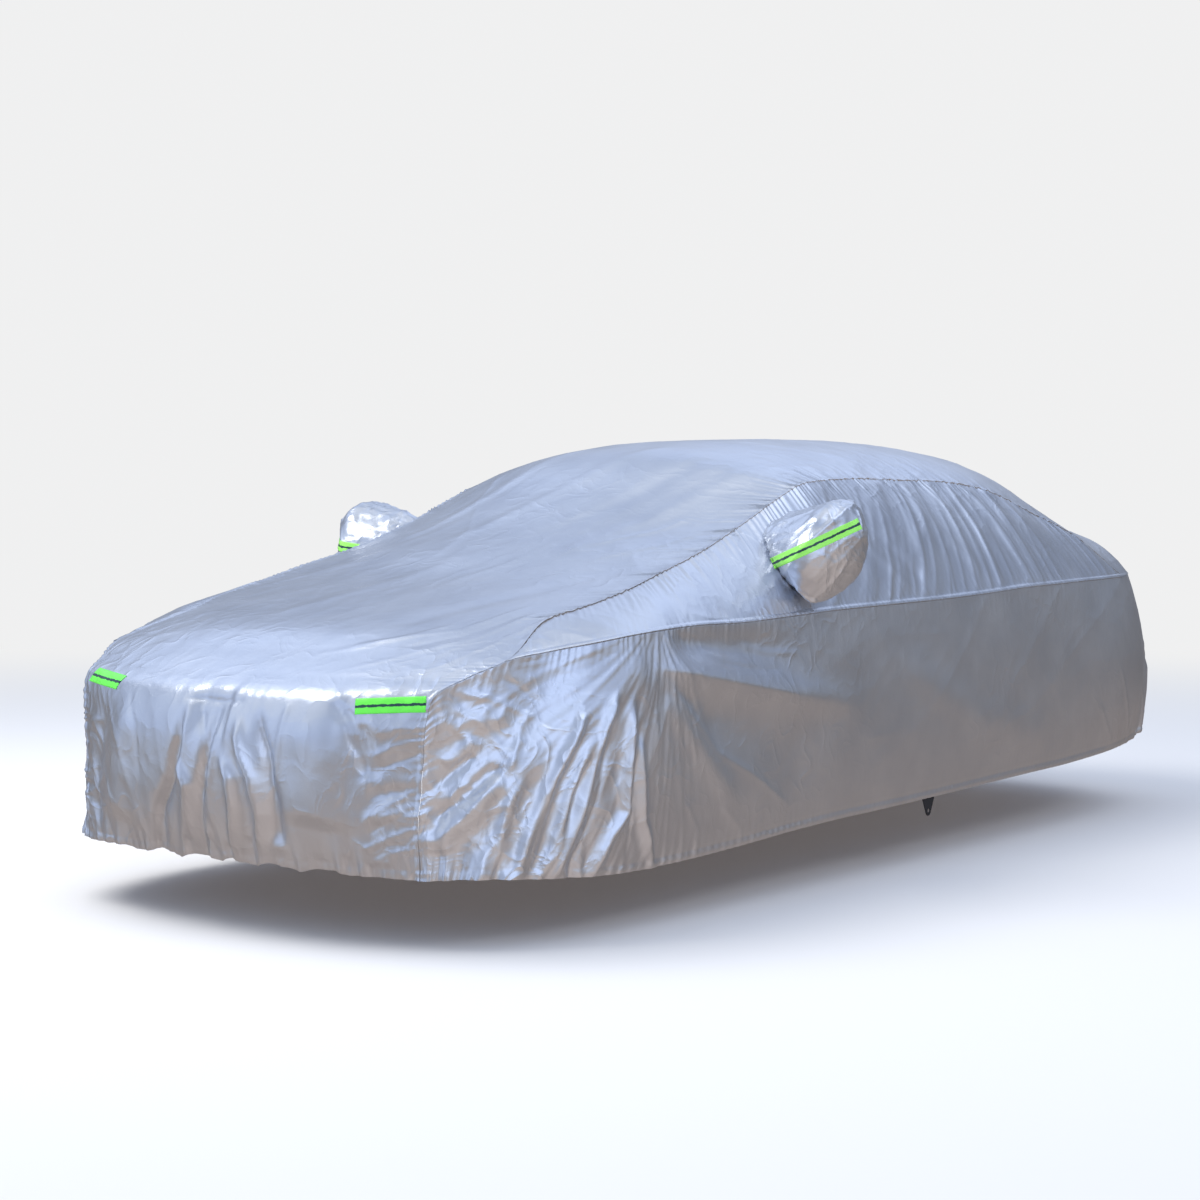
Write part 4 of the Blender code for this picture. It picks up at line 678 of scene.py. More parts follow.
def pucker_wave(way, station, puckers, distance):
    """Short gathers square to a seam: a wave along it that dies out away from it."""
    stations, heights, reaches = np.array(puckers, float).T
    reach = np.interp(station, stations, reaches)
    phase = 2 * np.pi * way / PUCKER_PITCH + 1.9 * np.sin(way * 31.0 + 0.6) + 1.1 * np.sin(way * 83.0)
    crowd = 0.55 + 0.45 * np.sin(way * 19.0 + 1.0) * np.sin(way * 47.0 + 2.2)
    fade = np.exp(-((distance / reach) ** 1.3))
    return np.interp(station, stations, heights) * crowd * fade * (0.35 + np.sin(phase)) * 0.7


def welt(distance, height, width):
    """Raised edge of the cloth that laps over at a seam."""
    return height * (1 - smooth((distance - width * 0.6) / (width * 0.6)))


def hem_casing(distance, way, strength):
    """Rolled elastic casing at the hem, with its row of stitching and short ruches."""
    roll = CASING["roll"] * smooth(distance / 0.006) * (1 - smooth((distance - 0.014) / 0.010))
    groove = CASING["groove"] * np.exp(-(((distance - CASING["groove_place"]) / 0.0045) ** 2))
    wave = np.sin(2 * np.pi * way / CASING["ruche_pitch"] + 2.0 * np.sin(7 * way))
    return (roll + groove) * strength + CASING["ruche"] * wave * np.exp(-distance / 0.040)


def hem_scallop(above_hem, y):
    """Rise of the front hem between its gathers, where the elastic pulls it up unevenly."""
    waves = np.sin(2 * np.pi * y / SCALLOP["pitch"] + 1.3 * np.sin(7 * y))
    waves += 0.35 * np.sin(2 * np.pi * y / SCALLOP["small_pitch"])
    middle = 1 - smooth((np.abs(y) - 0.36) / 0.20)
    return SCALLOP["height"] * waves * middle * np.exp(-above_hem / SCALLOP["reach"])


def top_film(p):
    """Creasing of the coated cloth on the centre panel: long streaks, and a crushed patch on the nose."""
    x, y, _ = xyz(p)
    streaks = ridges(2.2 * x + 1.2 * y, 9.0 * y - 3.5 * x * np.tanh(y / 0.4), 3)
    fine = ridges(4.0 * x - 9.0 * y, 15.0 * y + 5.0 * x, 5)
    crushed = ridges(13.0 * x + 6.0 * y, 12.0 * y - 5.0 * x, 9)
    nose = smooth((x - 1.75) / 0.4) * (0.35 + 0.65 * smooth((np.abs(y) - 0.42) / 0.25))
    calm = 0.35 + 0.65 * smooth(value_noise(1.7 * x, 1.7 * y, 0 * x, 13) + 0.5)
    spread = (TOP_FILM["streaks"] * streaks + TOP_FILM["fine"] * fine) * calm
    return spread + TOP_FILM["crushed_nose"] * crushed * nose


def band_film(p):
    """Creasing of the window bands: leaning wrinkles behind the pocket, crossed ones on the front pillar."""
    x, _, z = xyz(p)
    lean = x + np.interp(x, (-1.2, -0.8, -0.4, 0.0, 0.6), (-0.2, 0.0, 0.4, 0.85, 0.9)) * (z - 1.1)
    wide = ridges(6.0 * lean, 1.3 * z + 0.5 * x, 11)
    fine = ridges(14.0 * lean, 3.0 * z, 12)
    pillar = ridges(9.0 * x + 7.0 * z, 8.0 * z - 5.0 * x, 15)
    fore = smooth((x - 0.55) / 0.35)
    taut = 0.30 + 0.70 * smooth(0.5 + 0.9 * value_noise(2.6 * lean, 1.1 * z, 0 * x, 17))
    creased = (BAND_FILM["wide"] * wide + BAND_FILM["fine"] * fine) * taut
    return creased * (1 - 0.5 * fore) + BAND_FILM["pillar"] * pillar * fore


def side_film(p):
    """Creasing of the skirts and the fascia: a fan from the knee, upright folds, a crushed corner."""
    x, y, z = xyz(p)
    flank = smooth((np.abs(y) - 0.60) / 0.14)
    fan_share = smooth((x - 1.20) / 0.45) * flank
    fore = smooth((x - 2.0) / 0.2) * (1 - flank)
    corner = smooth((np.abs(y) - 0.44) / 0.12) * smooth((x - 1.95) / 0.2)
    middle = np.exp(-(((y - 0.02) / 0.28) ** 2))
    angle = np.arctan2(x - FAN_CENTRE[0], FAN_CENTRE[1] - z)
    radius = np.hypot(x - FAN_CENTRE[0], FAN_CENTRE[1] - z)
    fan = SIDE_FILM["fan"] * ridges(6.5 * angle, 2.4 * radius, 51)
    fan += SIDE_FILM["fan_fine"] * ridges(15.0 * angle, 6.0 * radius, 52)
    upright = ridges(10.0 * y + 1.5 * z, 2.2 * z, 61)
    upright = upright * (SIDE_FILM["upright_middle"] * middle + SIDE_FILM["upright"])
    crushed = SIDE_FILM["crushed_corner"] * ridges(14.0 * (y - 0.5 * x) + 5.0 * z, 11.0 * z - 3.0 * y, 63)
    calm = SIDE_FILM["calm"] * ridges(2.0 * x + 3.0 * z, 3.0 * z, 29)
    calm += SIDE_FILM["calm_fine"] * ridges(6.0 * x - 3.0 * z, 6.0 * z, 31)
    return fan * fan_share + upright * fore + crushed * corner + calm * (1 - fan_share) * (1 - fore)


def crumpled(p):
    """How crushed the film is at each place, 0 to 1: most at the nose corners, least on the roof and tail."""
    x, y, z = xyz(p)
    front = smooth((x - 1.1) / 0.8)
    low = 1 - smooth((z - 0.55) / 0.25)
    corner = smooth((np.abs(y) - 0.30) / 0.30) * smooth((x - 1.7) / 0.4)
    patches = smooth(value_noise(2.2 * x, 2.2 * y, 2.2 * z, 87) + 0.35)
    pillar = np.exp(-(((x - 0.95) / 0.35) ** 2)) * smooth((np.abs(y) - 0.35) / 0.3)
    return 0.10 + 0.16 * patches + 0.14 * front * low + 0.22 * corner + 0.18 * pillar


# Fine grids of the panels --------------------------------------------------------------------------------

def mirrored(points):
    return points * np.array((1.0, -1.0, 1.0))


def raised(base, height):
    """The smooth cover with its folds and creases."""
    return base + lift_direction(base) * height[..., None]


def stations_between(lengths, spacing):
    """Fractional station numbers, so that neighbours are about the wanted spacing apart."""
    wanted = np.repeat([distance for _, distance in spacing], [count for count, _ in spacing])
    counts = np.maximum(2, np.round(lengths / wanted).astype(int))
    return np.concatenate([i + np.arange(n) / n for i, n in enumerate(counts)] + [[float(len(lengths))]])


def centre_grid():
    """Centre panel: its rows run across the cover from the front hem to the tail."""
    u = stations_between(np.diff(KNOTS_U), CENTRE_SPACING)
    half = 1 - (1 - np.linspace(0, 1, HALF_COLUMNS)) ** CROWDING
    v = np.concatenate([-half[:0:-1], half])
    base = centre_panel(u[:, None] + 0 * v, v + 0 * u[:, None])
    seam = top_edge(u)
    distance = span(base, np.where((v > 0)[:, None], seam[:, None], mirrored(seam)[:, None]))
    way = chord(seam)[:, None]
    shifted = way + RIGHT_TOP_SHIFT * (v < 0)
    past = np.clip(u - JUNCTION, 0, 1)[:, None]
    height = fold_height(base) + crease_height(base)
    height += pucker_wave(shifted, u[:, None], CORNER_PUCKERS, distance) * (1 - past)
    height += pucker_wave(shifted, u[:, None] - JUNCTION, TOP_PUCKERS, distance) * past
    at_seam = (1 - smooth(distance / SEAM_REACH)) * smooth((u[:, None] - CORNER + 0.6) / 0.6)
    on_top = smooth((base[..., 2] - TOP_START[0]) / TOP_START[1])
    on_nose = (1 - on_top) * smooth((base[..., 0] - 1.0) / 0.4)
    height += (top_film(base) * on_top + side_film(base) * on_nose) * (1 - at_seam)
    height += welt(distance, *TOP_WELT)
    above_hem = span(base, base[:1])
    on_fascia = (u < CORNER)[:, None]
    height += hem_casing(above_hem, base[..., 1], 0.3) * on_fascia
    points = raised(base, height)
    points[..., 2] += hem_scallop(above_hem, base[..., 1]) * on_fascia
    return points, np.stack([way + 0 * v, base[..., 1]], -1)


def band_grid(sign):
    """Window band of one half. Its first row is doubled, and tucked under the edge of the skirt."""
    belt_line = along(KNOTS_S, LINE_T, LEAD + np.arange(REAR_JUNCTION + 1))
    s = stations_between(np.diff(chord(belt_line)), BAND_SPACING)
    q = np.linspace(0, 1, BAND_ROWS) ** CROWDING
    q = np.concatenate([q[:1], q])
    base = band(s, q)
    way_belt = chord(base[:, 0])[:, None]
    way_top = chord(base[:, -1])[:, None] + chord(top_edge(np.linspace(0, JUNCTION, 8 * JUNCTION + 1)))[-1]
    width = span(base[:, -1], base[:, 0])[:, None]
    if sign < 0:
        base = mirrored(base)
        way_belt = way_belt + RIGHT_BELT_SHIFT
        way_top = way_top + RIGHT_TOP_SHIFT
    low = q * width
    high = (1 - q) * width
    height = fold_height(base)
    height += pucker_wave(way_belt, s[:, None], BELT_PUCKERS, low)
    height += pucker_wave(way_top, s[:, None], TOP_PUCKERS, high)
    height += band_film(base) * smooth(low / SEAM_REACH) * smooth(high / SEAM_REACH)
    lap = welt(low, *BELT_WELT)
    lap[:, 0] = -BAND_TUCK
    return raised(base, height + lap), np.stack([way_belt + 0 * q, low], -1)


def skirt_grid(sign):
    """Skirt of one half. Its last row is doubled, and tucked under the edge of the panel above."""
    s = stations_between(np.diff(KNOTS_S), SKIRT_SPACING)
    tail = np.linspace(1, 0, TAIL_COLUMNS)[1:]
    j = stations_between(np.diff(chord(LINE_E[:CORNER + 1])), SKIRT_ROW_SPACING)
    j = np.concatenate([j, j[-1:]])
    base = skirt(s, tail, j)
    station = np.concatenate([s, LAST + (1 - tail) * 2])[:, None]
    way = chord(skirt_lines(s, tail)[0])[:, None]
    top_shift = belt_shift = 0.0
    if sign < 0:
        base = mirrored(base)
        top_shift = RIGHT_TOP_SHIFT
        belt_shift = RIGHT_BELT_SHIFT
    seam_run = chord(top_edge(np.arange(0, JUNCTION + 0.1, 0.25)))
    to_corner = seam_run[4 * CORNER]
    to_junction = seam_run[-1] - to_corner
    drop = span(base, base[:, -1:])
    ahead = pucker_wave(way + to_corner + top_shift, CORNER + station, CORNER_PUCKERS, drop)
    behind = pucker_wave(way - to_junction + belt_shift, station - LEAD, BELT_PUCKERS, drop)
    corner_way = chord(along(KNOTS_U, LINE_E, j))[None] + top_shift
    corner = pucker_wave(corner_way, j[None], CORNER_PUCKERS, span(base, base[:1]))
    height = fold_height(base) + crease_height(base) + np.where(station < LEAD, ahead, behind)
    height += (corner + side_film(base)) * smooth(drop / SEAM_REACH)
    casing = 1 - 0.7 * smooth((base[..., 0] - 1.5) / 0.5)
    height += hem_casing(span(base, base[:, :1]), way, casing)
    height[:, -1] -= SKIRT_TUCK
    return raised(base, height), np.stack([way + 0 * j, drop], -1)


def linked(name, mesh):
    obj = bpy.data.objects.new(name, mesh)
    bpy.context.scene.collection.objects.link(obj)
    return obj


def grid_mesh(name, points, flip, uv=None, drop=None, crumple=None):
    """Quad mesh of a grid of points, shaded smooth, with its cloth coordinates in metres."""
    rows, cols = points.shape[:2]
    index = np.arange(rows * cols).reshape(rows, cols)
    quads = np.stack([index[:-1, :-1], index[1:, :-1], index[1:, 1:], index[:-1, 1:]], -1).reshape(-1, 4)
    if flip:
        quads = quads[:, ::-1]
    if drop is not None:
        quads = quads[~drop[:-1, :-1].reshape(-1)]
    mesh = bpy.data.meshes.new(name)
    mesh.vertices.add(rows * cols)
    mesh.vertices.foreach_set("co", (points.reshape(-1, 3) - ORIGIN).astype(np.float32).ravel())
    mesh.loops.add(quads.size)
    mesh.loops.foreach_set("vertex_index", quads.astype(np.int32).ravel())
    mesh.polygons.add(len(quads))
    mesh.polygons.foreach_set("loop_start", np.arange(0, quads.size, 4, dtype=np.int32))
    mesh.polygons.foreach_set("loop_total", np.full(len(quads), 4, np.int32))
    mesh.update(calc_edges=True)
    if uv is not None:
        layer = mesh.uv_layers.new(name="cloth")
        layer.data.foreach_set("uv", uv.reshape(-1, 2)[quads.ravel()].astype(np.float32).ravel())
    mesh.shade_smooth()
    mesh.validate()
    if crumple is not None:
        layer = mesh.attributes.new("crumple", "FLOAT", "POINT")
        layer.data.foreach_set("value", np.clip(crumple, 0, 1).astype(np.float32).ravel())
    return linked(name, mesh)


def laid(obj, look, solid):
    """Puts a finished piece on the frame in place of its plain solid."""
    obj.data.materials.append(look)
    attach(obj, "root")
    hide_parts(solid)
    return obj


# Pockets, strips and tab ---------------------------------------------------------------------------------

def tree_of(*objects):
    """The cloth of several pieces, to cast rays at."""
    points = []
    faces = []
    for obj in objects:
        start = len(points)
        points.extend(v.co.copy() for v in obj.data.vertices)
        faces.extend([i + start for i in f.vertices] for f in obj.data.polygons)
    return BVHTree.FromPolygons(points, faces)


def cast(tree, point, direction):
    """Nearest place on the cloth that a ray meets, in the frame's metres, and its normal towards the ray."""
    direction = Vector(direction).normalized()
    hit, normal, _, _ = tree.ray_cast(Vector(point), direction)
    if hit is None:
        return None, None
    if normal.dot(direction) > 0:
        normal = -normal
    return np.array(hit), np.array(normal)


def pocket_normals(points):
    """Outward directions on the rings of a pocket; its closed end faces straight out."""
    turn = np.roll(points[:, :-1], -1, axis=1) - np.roll(points[:, :-1], 1, axis=1)
    turn = np.concatenate([turn, turn[:, :1]], 1)
    normal = np.cross(turn, np.gradient(points, axis=0))
    normal[-1] = POCKET_END
    normal = unit(normal)
    wide = points[WIDE_RING]
    if np.sum(normal[WIDE_RING] * (wide - wide.mean(axis=0))) < 0:
        normal[:-1] *= -1
    return normal


def pocket_grid(tree, sign):
    """Rings of the pocket from the rim that is sewn to the band out to its closed end."""
    last = len(POCKET) - 1
    ring = (last * (1 - (1 - np.linspace(0, 1, POCKET_RINGS)) ** 1.25))
    sections = spline(np.arange(last + 1.0), np.array(POCKET), ring)
    dx, dy, dz, rx, rz, lean = (column[:, None] for column in sections.T)
    ring = ring[:, None]
    a = 2 * np.pi * np.arange(POCKET_AROUND + 1) / POCKET_AROUND
    lump = 1 + (0.030 * np.sin(3 * a + 0.7 * sign) + 0.020 * np.sin(5 * a + 1.1 * ring)) * smooth(ring)
    rise = np.maximum(rz, 0) * np.sin(a) * lump
    x = POCKET_CENTRE[0] + dx + np.maximum(rx, 0) * np.cos(a) * lump - lean * rise
    z = POCKET_CENTRE[2] + dz + rise
    cloth = np.zeros(x.shape)
    for i, k in np.ndindex(x.shape):
        hit, _ = cast(tree, np.array((x[i, k], sign * 1.6, z[i, k])) - ORIGIN, (0, -sign, 0))
        cloth[i, k] = abs(hit[1]) if hit is not None else cloth[i, k - 1]
    y = cloth[:1] + (POCKET_CENTRE[1] + dy - cloth[:1]) * smooth(dy / POCKET_EASE)
    y = np.maximum(y, cloth + 0.45 * np.maximum(dy, 0))
    y[0] = cloth[0] - 0.001
    points = np.stack([x, y, z], -1)
    folds = ridges(15.0 * x + 8.0 * z, 9.0 * z - 12.0 * y, 41) * (0.5 + 0.5 * smooth((np.sin(a) + 0.4) / 0.8))
    fine = ridges(28.0 * x - 20.0 * z, 24.0 * z + 10.0 * y, 43)
    height = (POCKET_FILM["folds"] * folds + POCKET_FILM["fine"] * fine) * smooth(dy / 0.02)
    height += POCKET_FILM["hem"] * np.exp(-(((dy - 0.012) / 0.006) ** 2))
    height += POCKET_FILM["gathers"] * np.sin(22 * a + 2.0 * np.sin(3 * a)) * np.exp(-dy / 0.05)
    height *= (1 - np.linspace(0, 1, POCKET_RINGS) ** 8)[:, None]
    points = points + pocket_normals(points) * height[..., None]
    points[..., 1] *= sign
    return points, np.stack([a * 0.12 + 0 * ring, dy + 0 * a], -1)


def pocket_mouth(points):
    """Which cells of a band grid lie inside the mouth of the pocket."""
    dx, _, dz, rx, rz, lean = POCKET[0]
    rise = points[..., 2] - POCKET_CENTRE[2] - dz
    across = points[..., 0] - POCKET_CENTRE[0] - dx + lean * rise
    return (across / (rx - MOUTH_INSET)) ** 2 + (rise / (rz - MOUTH_INSET)) ** 2 < 1


def strip_mesh(name, tree, start, end, width, facing):
    """Thin strip laid on the cloth between two places, as a grid that is then given its thickness."""
    start = Vector(start)
    end = Vector(end)
    facing = Vector(facing).normalized()
    way = (end - start).normalized()
    across = facing.cross(way).normalized()
    length = (end - start).length
    steps = max(8, int(length / STRIP_STEP))
    points = np.zeros((steps + 1, STRIP_LINES + 1, 3))
    uv = np.zeros((steps + 1, STRIP_LINES + 1, 2))
    for i, k in np.ndindex(uv.shape[:2]):
        gone = length * i / steps
        off = (k / STRIP_LINES - 0.5) * width
        uv[i, k] = gone, off
        hit, normal = cast(tree, start + way * gone + across * off + facing * 0.25, -facing)
        if hit is None:
            points[i, k] = points[i, k - 1] if k else points[i - 1, k]
        else:
            points[i, k] = hit + normal * STRIP_LIFT
    obj = grid_mesh(name, points + ORIGIN, False, uv)
    middle = obj.data.polygons[len(obj.data.polygons) // 2].normal
    if middle.dot(facing) < 0:
        obj.data.flip_normals()
    thick = obj.modifiers.new("film", "SOLIDIFY")
    thick.thickness = STRIP_THICKNESS
    thick.offset = 1.0
    return obj, length


def reach_to_outline(eye, way, corners):
    """Distance from the eyelet to the outline in one direction."""
    reach = []
    for a, b in zip(corners, np.roll(corners, -1, axis=0)):
        edge = b - a
        gap = a - eye
        cross = way[0] * edge[1] - way[1] * edge[0]
        if abs(cross) > 1e-12:
            far = (gap[0] * edge[1] - gap[1] * edge[0]) / cross
            part = (gap[0] * way[1] - gap[1] * way[0]) / cross
            if far > 0 and -1e-6 <= part <= 1 + 1e-6:
                reach.append(far)
    return min(reach)


def tab_mesh(name):
    """Webbing tab: rings from its eyelet out to its outline, and a lap that goes up behind the hem."""
    low, high = (Vector(c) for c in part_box("hem_tab"))
    middle = (low.x + high.x) / 2
    half_top = (high.x - low.x) / 2
    top = high.z - TAB["lap"]
    eye = np.array((middle, low.z + TAB["eye_height"]))
    corners = [(middle + half_top, top), (middle - half_top, top)]
    corners += [(middle - x, low.z + z) for x, z in TAB_TIP]
    corners += [(middle + x, low.z + z) for x, z in reversed(TAB_TIP)]
    corners = np.array(corners)
    angles = np.arctan2(corners[:, 1] - eye[1], corners[:, 0] - eye[0]) % (2 * np.pi)
    even = 2 * np.pi * (np.arange(TAB_DIRECTIONS) + 0.37) / TAB_DIRECTIONS
    angles = np.sort(np.concatenate([angles, even]))
    ways = np.stack([np.cos(angles), np.sin(angles)], 1)
    rim = np.array([eye + way * reach_to_outline(eye, way, corners) for way in ways])
    hole = eye + TAB["hole"] * ways
    flat = np.concatenate([hole * (1 - share) + rim * share for share in TAB_RINGS])
    n = len(angles)
    face_y = high.y - TAB["set_back"]
    points = np.stack([flat[:, 0], face_y + np.repeat(TAB_RISE, n), flat[:, 1]], 1)
    faces = []
    for ring in range(len(TAB_RINGS) - 1):
        for k in range(n):
            m = (k + 1) % n
            faces.append((ring * n + k, (ring + 1) * n + k, (ring + 1) * n + m, ring * n + m))
    tops = sorted((k for k in range(n) if rim[k, 1] > top - 1e-6), key=lambda k: rim[k, 0])
    lap = [
        (rim[k, 0], face_y - TAB["lap_back"] * row, top + TAB["lap"] * row)
        for row in (0.5, 1.0) for k in tops
    ]
    last = (len(TAB_RINGS) - 1) * n
    start = len(points)
    m = len(tops)
    for k in range(m - 1):
        faces.append((last + tops[k], start + k, start + k + 1, last + tops[k + 1]))
        faces.append((start + k, start + m + k, start + m + k + 1, start + k + 1))
    mesh = bpy.data.meshes.new(name)
    mesh.from_pydata([tuple(p) for p in np.concatenate([points, lap])], [], faces)
    mesh.validate()
    obj = linked(name, mesh)
    thick = obj.modifiers.new("webbing", "SOLIDIFY")
    thick.thickness = TAB["thickness"]
    thick.offset = 0.0
    soft = obj.modifiers.new("edge", "BEVEL")
    soft.width = TAB["bevel"]
    soft.segments = 2
    soft.limit_method = "ANGLE"
    mesh.shade_smooth()
    return obj


# Finishes ------------------------------------------------------------------------------------------------

def connect(tree, target, feeds):
    """Feeds a node's inputs, each with a plain value or with another node's output."""
    for key, value in feeds.items():
        socket = target.inputs[key]
        if isinstance(value, bpy.types.NodeSocket):
            tree.links.new(value, socket)
        else:
            socket.default_value = value


def node(tree, kind, feeds, **settings):
    """Adds a shader node with its settings and what feeds it."""
    made = tree.nodes.new("ShaderNode" + kind)
    for key, value in settings.items():
        setattr(made, key, value)
    connect(tree, made, feeds)
    return made


def finish_nodes(name):
    look = bpy.data.materials.new(name)
    look.use_nodes = True
    return look, look.node_tree, look.node_tree.nodes["Principled BSDF"]


def two_tones(tree, share, dark, light, start, end):
    """Colour that goes from the dark tone to the light one as the share grows."""
    ramp = node(tree, "ValToRGB", {"Fac": share})
    for stop, tone, position in zip(ramp.color_ramp.elements, (dark, light), (start, end)):
        stop.position = position
        stop.color = (*tone, 1)
    return ramp.outputs["Color"]


def bumped(tree, height, strength, distance):
    return node(tree, "Bump", {"Height": height, "Strength": strength, "Distance": distance})


def silver_film(cloth):
    """Aluminised cloth: satin metal with a faint mottle and a fine crinkle."""
    look, tree, shader = finish_nodes("silver_film")
    place = node(tree, "TexCoord", {}).outputs["Object"]
    mottle = node(tree, "TexNoise", {"Vector": place, "Scale": 5.0, "Detail": 3.0, "Roughness": 0.6})
    dark = [c * share for c, share in zip(cloth.colour, (0.90, 0.91, 0.93))]
    gloss = node(tree, "MapRange", {
        "Value": mottle.outputs["Fac"], "To Min": cloth.roughness - 0.05, "To Max": cloth.roughness + 0.06,
    })
    crinkle = node(tree, "TexNoise", {
        "Vector": place, "Scale": 11.0, "Detail": 4.0, "Roughness": 0.55, "Distortion": 0.8,
        "Offset": 0.8, "Gain": 1.6,
    }, noise_type="RIDGED_MULTIFRACTAL")
    grain = node(tree, "TexNoise", {"Vector": place, "Scale": 60.0, "Detail": 3.0, "Roughness": 0.6})
    crushed = node(tree, "Attribute", {}, attribute_name="crumple")
    crinkled = bumped(tree, crinkle.outputs["Fac"], crushed.outputs["Fac"], 0.0042)
    grained = bumped(tree, grain.outputs["Fac"], 0.3, 0.0010)
    connect(tree, grained, {"Normal": crinkled.outputs["Normal"]})
    connect(tree, shader, {
        "Base Color": two_tones(tree, mottle.outputs["Fac"], dark, cloth.colour, 0.3, 0.7),
        "Roughness": gloss.outputs["Result"], "Metallic": 0.93, "Normal": grained.outputs["Normal"],
    })
    return look


def green_film(trim, name, colour):
    """Reflective tape: green film with a broken dark line along its middle."""
    look, tree, shader = finish_nodes(name)
    cloth = node(tree, "UVMap", {}, uv_map="cloth").outputs["UV"]
    split = node(tree, "SeparateXYZ", {"Vector": cloth})
    away = node(tree, "Math", {0: split.outputs["Y"]}, operation="ABSOLUTE")
    wander = node(tree, "TexNoise", {"Vector": cloth, "Scale": 70.0, "Detail": 2.0})
    width = node(tree, "MapRange", {
        "Value": wander.outputs["Fac"], "From Min": 0.35, "From Max": 0.60,
        "To Min": trim.line_width / 2, "To Max": trim.line_width,
    })
    inside = node(tree, "Math", {0: away.outputs["Value"], 1: width.outputs["Result"]}, operation="LESS_THAN")
    mix = node(tree, "Mix", {
        0: inside.outputs["Value"], 6: (*colour, 1), 7: (*trim.line_colour, 1),
    }, data_type="RGBA")
    beads = node(tree, "TexVoronoi", {"Vector": cloth, "Scale": 900.0})
    connect(tree, shader, {
        "Base Color": mix.outputs[2], "Roughness": 0.38, "Coat Weight": 0.3,
        "Normal": bumped(tree, beads.outputs["Distance"], 0.15, 0.0005).outputs["Normal"],
    })
    return look


def black_webbing(trim):
    """Woven black tape with a rib across it."""
    look, tree, shader = finish_nodes("black_webbing")
    place = node(tree, "TexCoord", {}).outputs["Object"]
    ribs = node(tree, "TexWave", {"Vector": place, "Scale": 110.0, "Distortion": 0.6}, bands_direction="Z")
    dark, light = ([c * share for c in trim.webbing] for share in (0.6, 1.6))
    connect(tree, shader, {
        "Base Color": two_tones(tree, ribs.outputs["Fac"], dark, light, 0.0, 1.0), "Roughness": 0.75,
        "Normal": bumped(tree, ribs.outputs["Fac"], 0.5, 0.0006).outputs["Normal"],
    })
    return look


def backdrop_paper(floor):
    """Floor paper that fades into an evenly lit backdrop away from the middle."""
    look, tree, shader = finish_nodes("pale_backdrop")
    place = node(tree, "TexCoord", {}).outputs["Object"]
    flat = node(tree, "VectorMath", {0: place, 1: (1, 1, 0)}, operation="MULTIPLY")
    away = node(tree, "VectorMath", {0: flat.outputs["Vector"]}, operation="LENGTH")
    far = node(tree, "MapRange", {
        "Value": away.outputs["Value"], "From Min": 2.5, "From Max": 13.0,
    }, interpolation_type="SMOOTHSTEP")
    glow = node(tree, "Emission", {"Color": (*BACKDROP_LIGHT, 1)})
    blend = node(tree, "MixShader", {
        0: far.outputs["Result"], 1: shader.outputs["BSDF"], 2: glow.outputs["Emission"],
    })
    connect(tree, tree.nodes["Material Output"], {"Surface": blend.outputs["Shader"]})
    connect(tree, shader, {"Base Color": (*floor, 1), "Roughness": 0.9, "Specular IOR Level": 0.1})
    return look


# Stage ---------------------------------------------------------------------------------------------------

def floor_and_backdrop(paper):
    """A round floor and the curved wall that rises from its edge. The film mirrors neither."""
    ground = -ORIGIN[2]
    turns = [2 * math.pi * k / ROOM["sides"] for k in range(ROOM["sides"])]
    ring = [(ROOM["radius"] * math.cos(turn), ROOM["radius"] * math.sin(turn), ground) for turn in turns]
    floor_mesh = bpy.data.meshes.new("floor")
    floor_mesh.from_pydata(ring, [], [tuple(range(len(ring)))])
    floor = linked("floor", floor_mesh)
    bend, steps, rows = ROOM["bend"], ROOM["bend_steps"], ROOM["rows"]
    places = []
    for turn in turns:
        for step in range(rows):
            tilt = math.pi / 2 * min(step / steps, 1)
            out = ROOM["radius"] - bend + bend * math.sin(tilt)
            up = bend * (1 - math.cos(tilt)) + max(0, step - steps) * bend
            places.append((out * math.cos(turn), out * math.sin(turn), ground + up + 0.001))
    faces = []
    for k in range(len(turns)):
        here = k * rows
        there = (k + 1) % len(turns) * rows
        faces += [(here + i, here + i + 1, there + i + 1, there + i) for i in range(rows - 1)]
    wall_mesh = bpy.data.meshes.new("backdrop")
    wall_mesh.from_pydata(places, [], faces)
    wall_mesh.shade_smooth()
    wall = linked("backdrop", wall_mesh)
    for obj in (floor, wall):
        obj.data.materials.append(paper)
        obj.visible_glossy = False
    wall.visible_diffuse = False
    wall.visible_shadow = False


def facing_share(tree, way, direction, start, amount):
    """Grows from 0 to the amount as the world's direction comes round to the given one."""
    dot = node(tree, "VectorMath", {0: way, 1: Vector(direction).normalized()}, operation="DOT_PRODUCT")
    return node(tree, "MapRange", {
        "Value": dot.outputs["Value"], "From Min": start, "From Max": 1.0, "To Max": amount,
    }, interpolation_type="SMOOTHSTEP").outputs["Result"]


def added(tree, first, second):
    return node(tree, "Math", {0: first, 1: second}, operation="ADD").outputs["Value"]


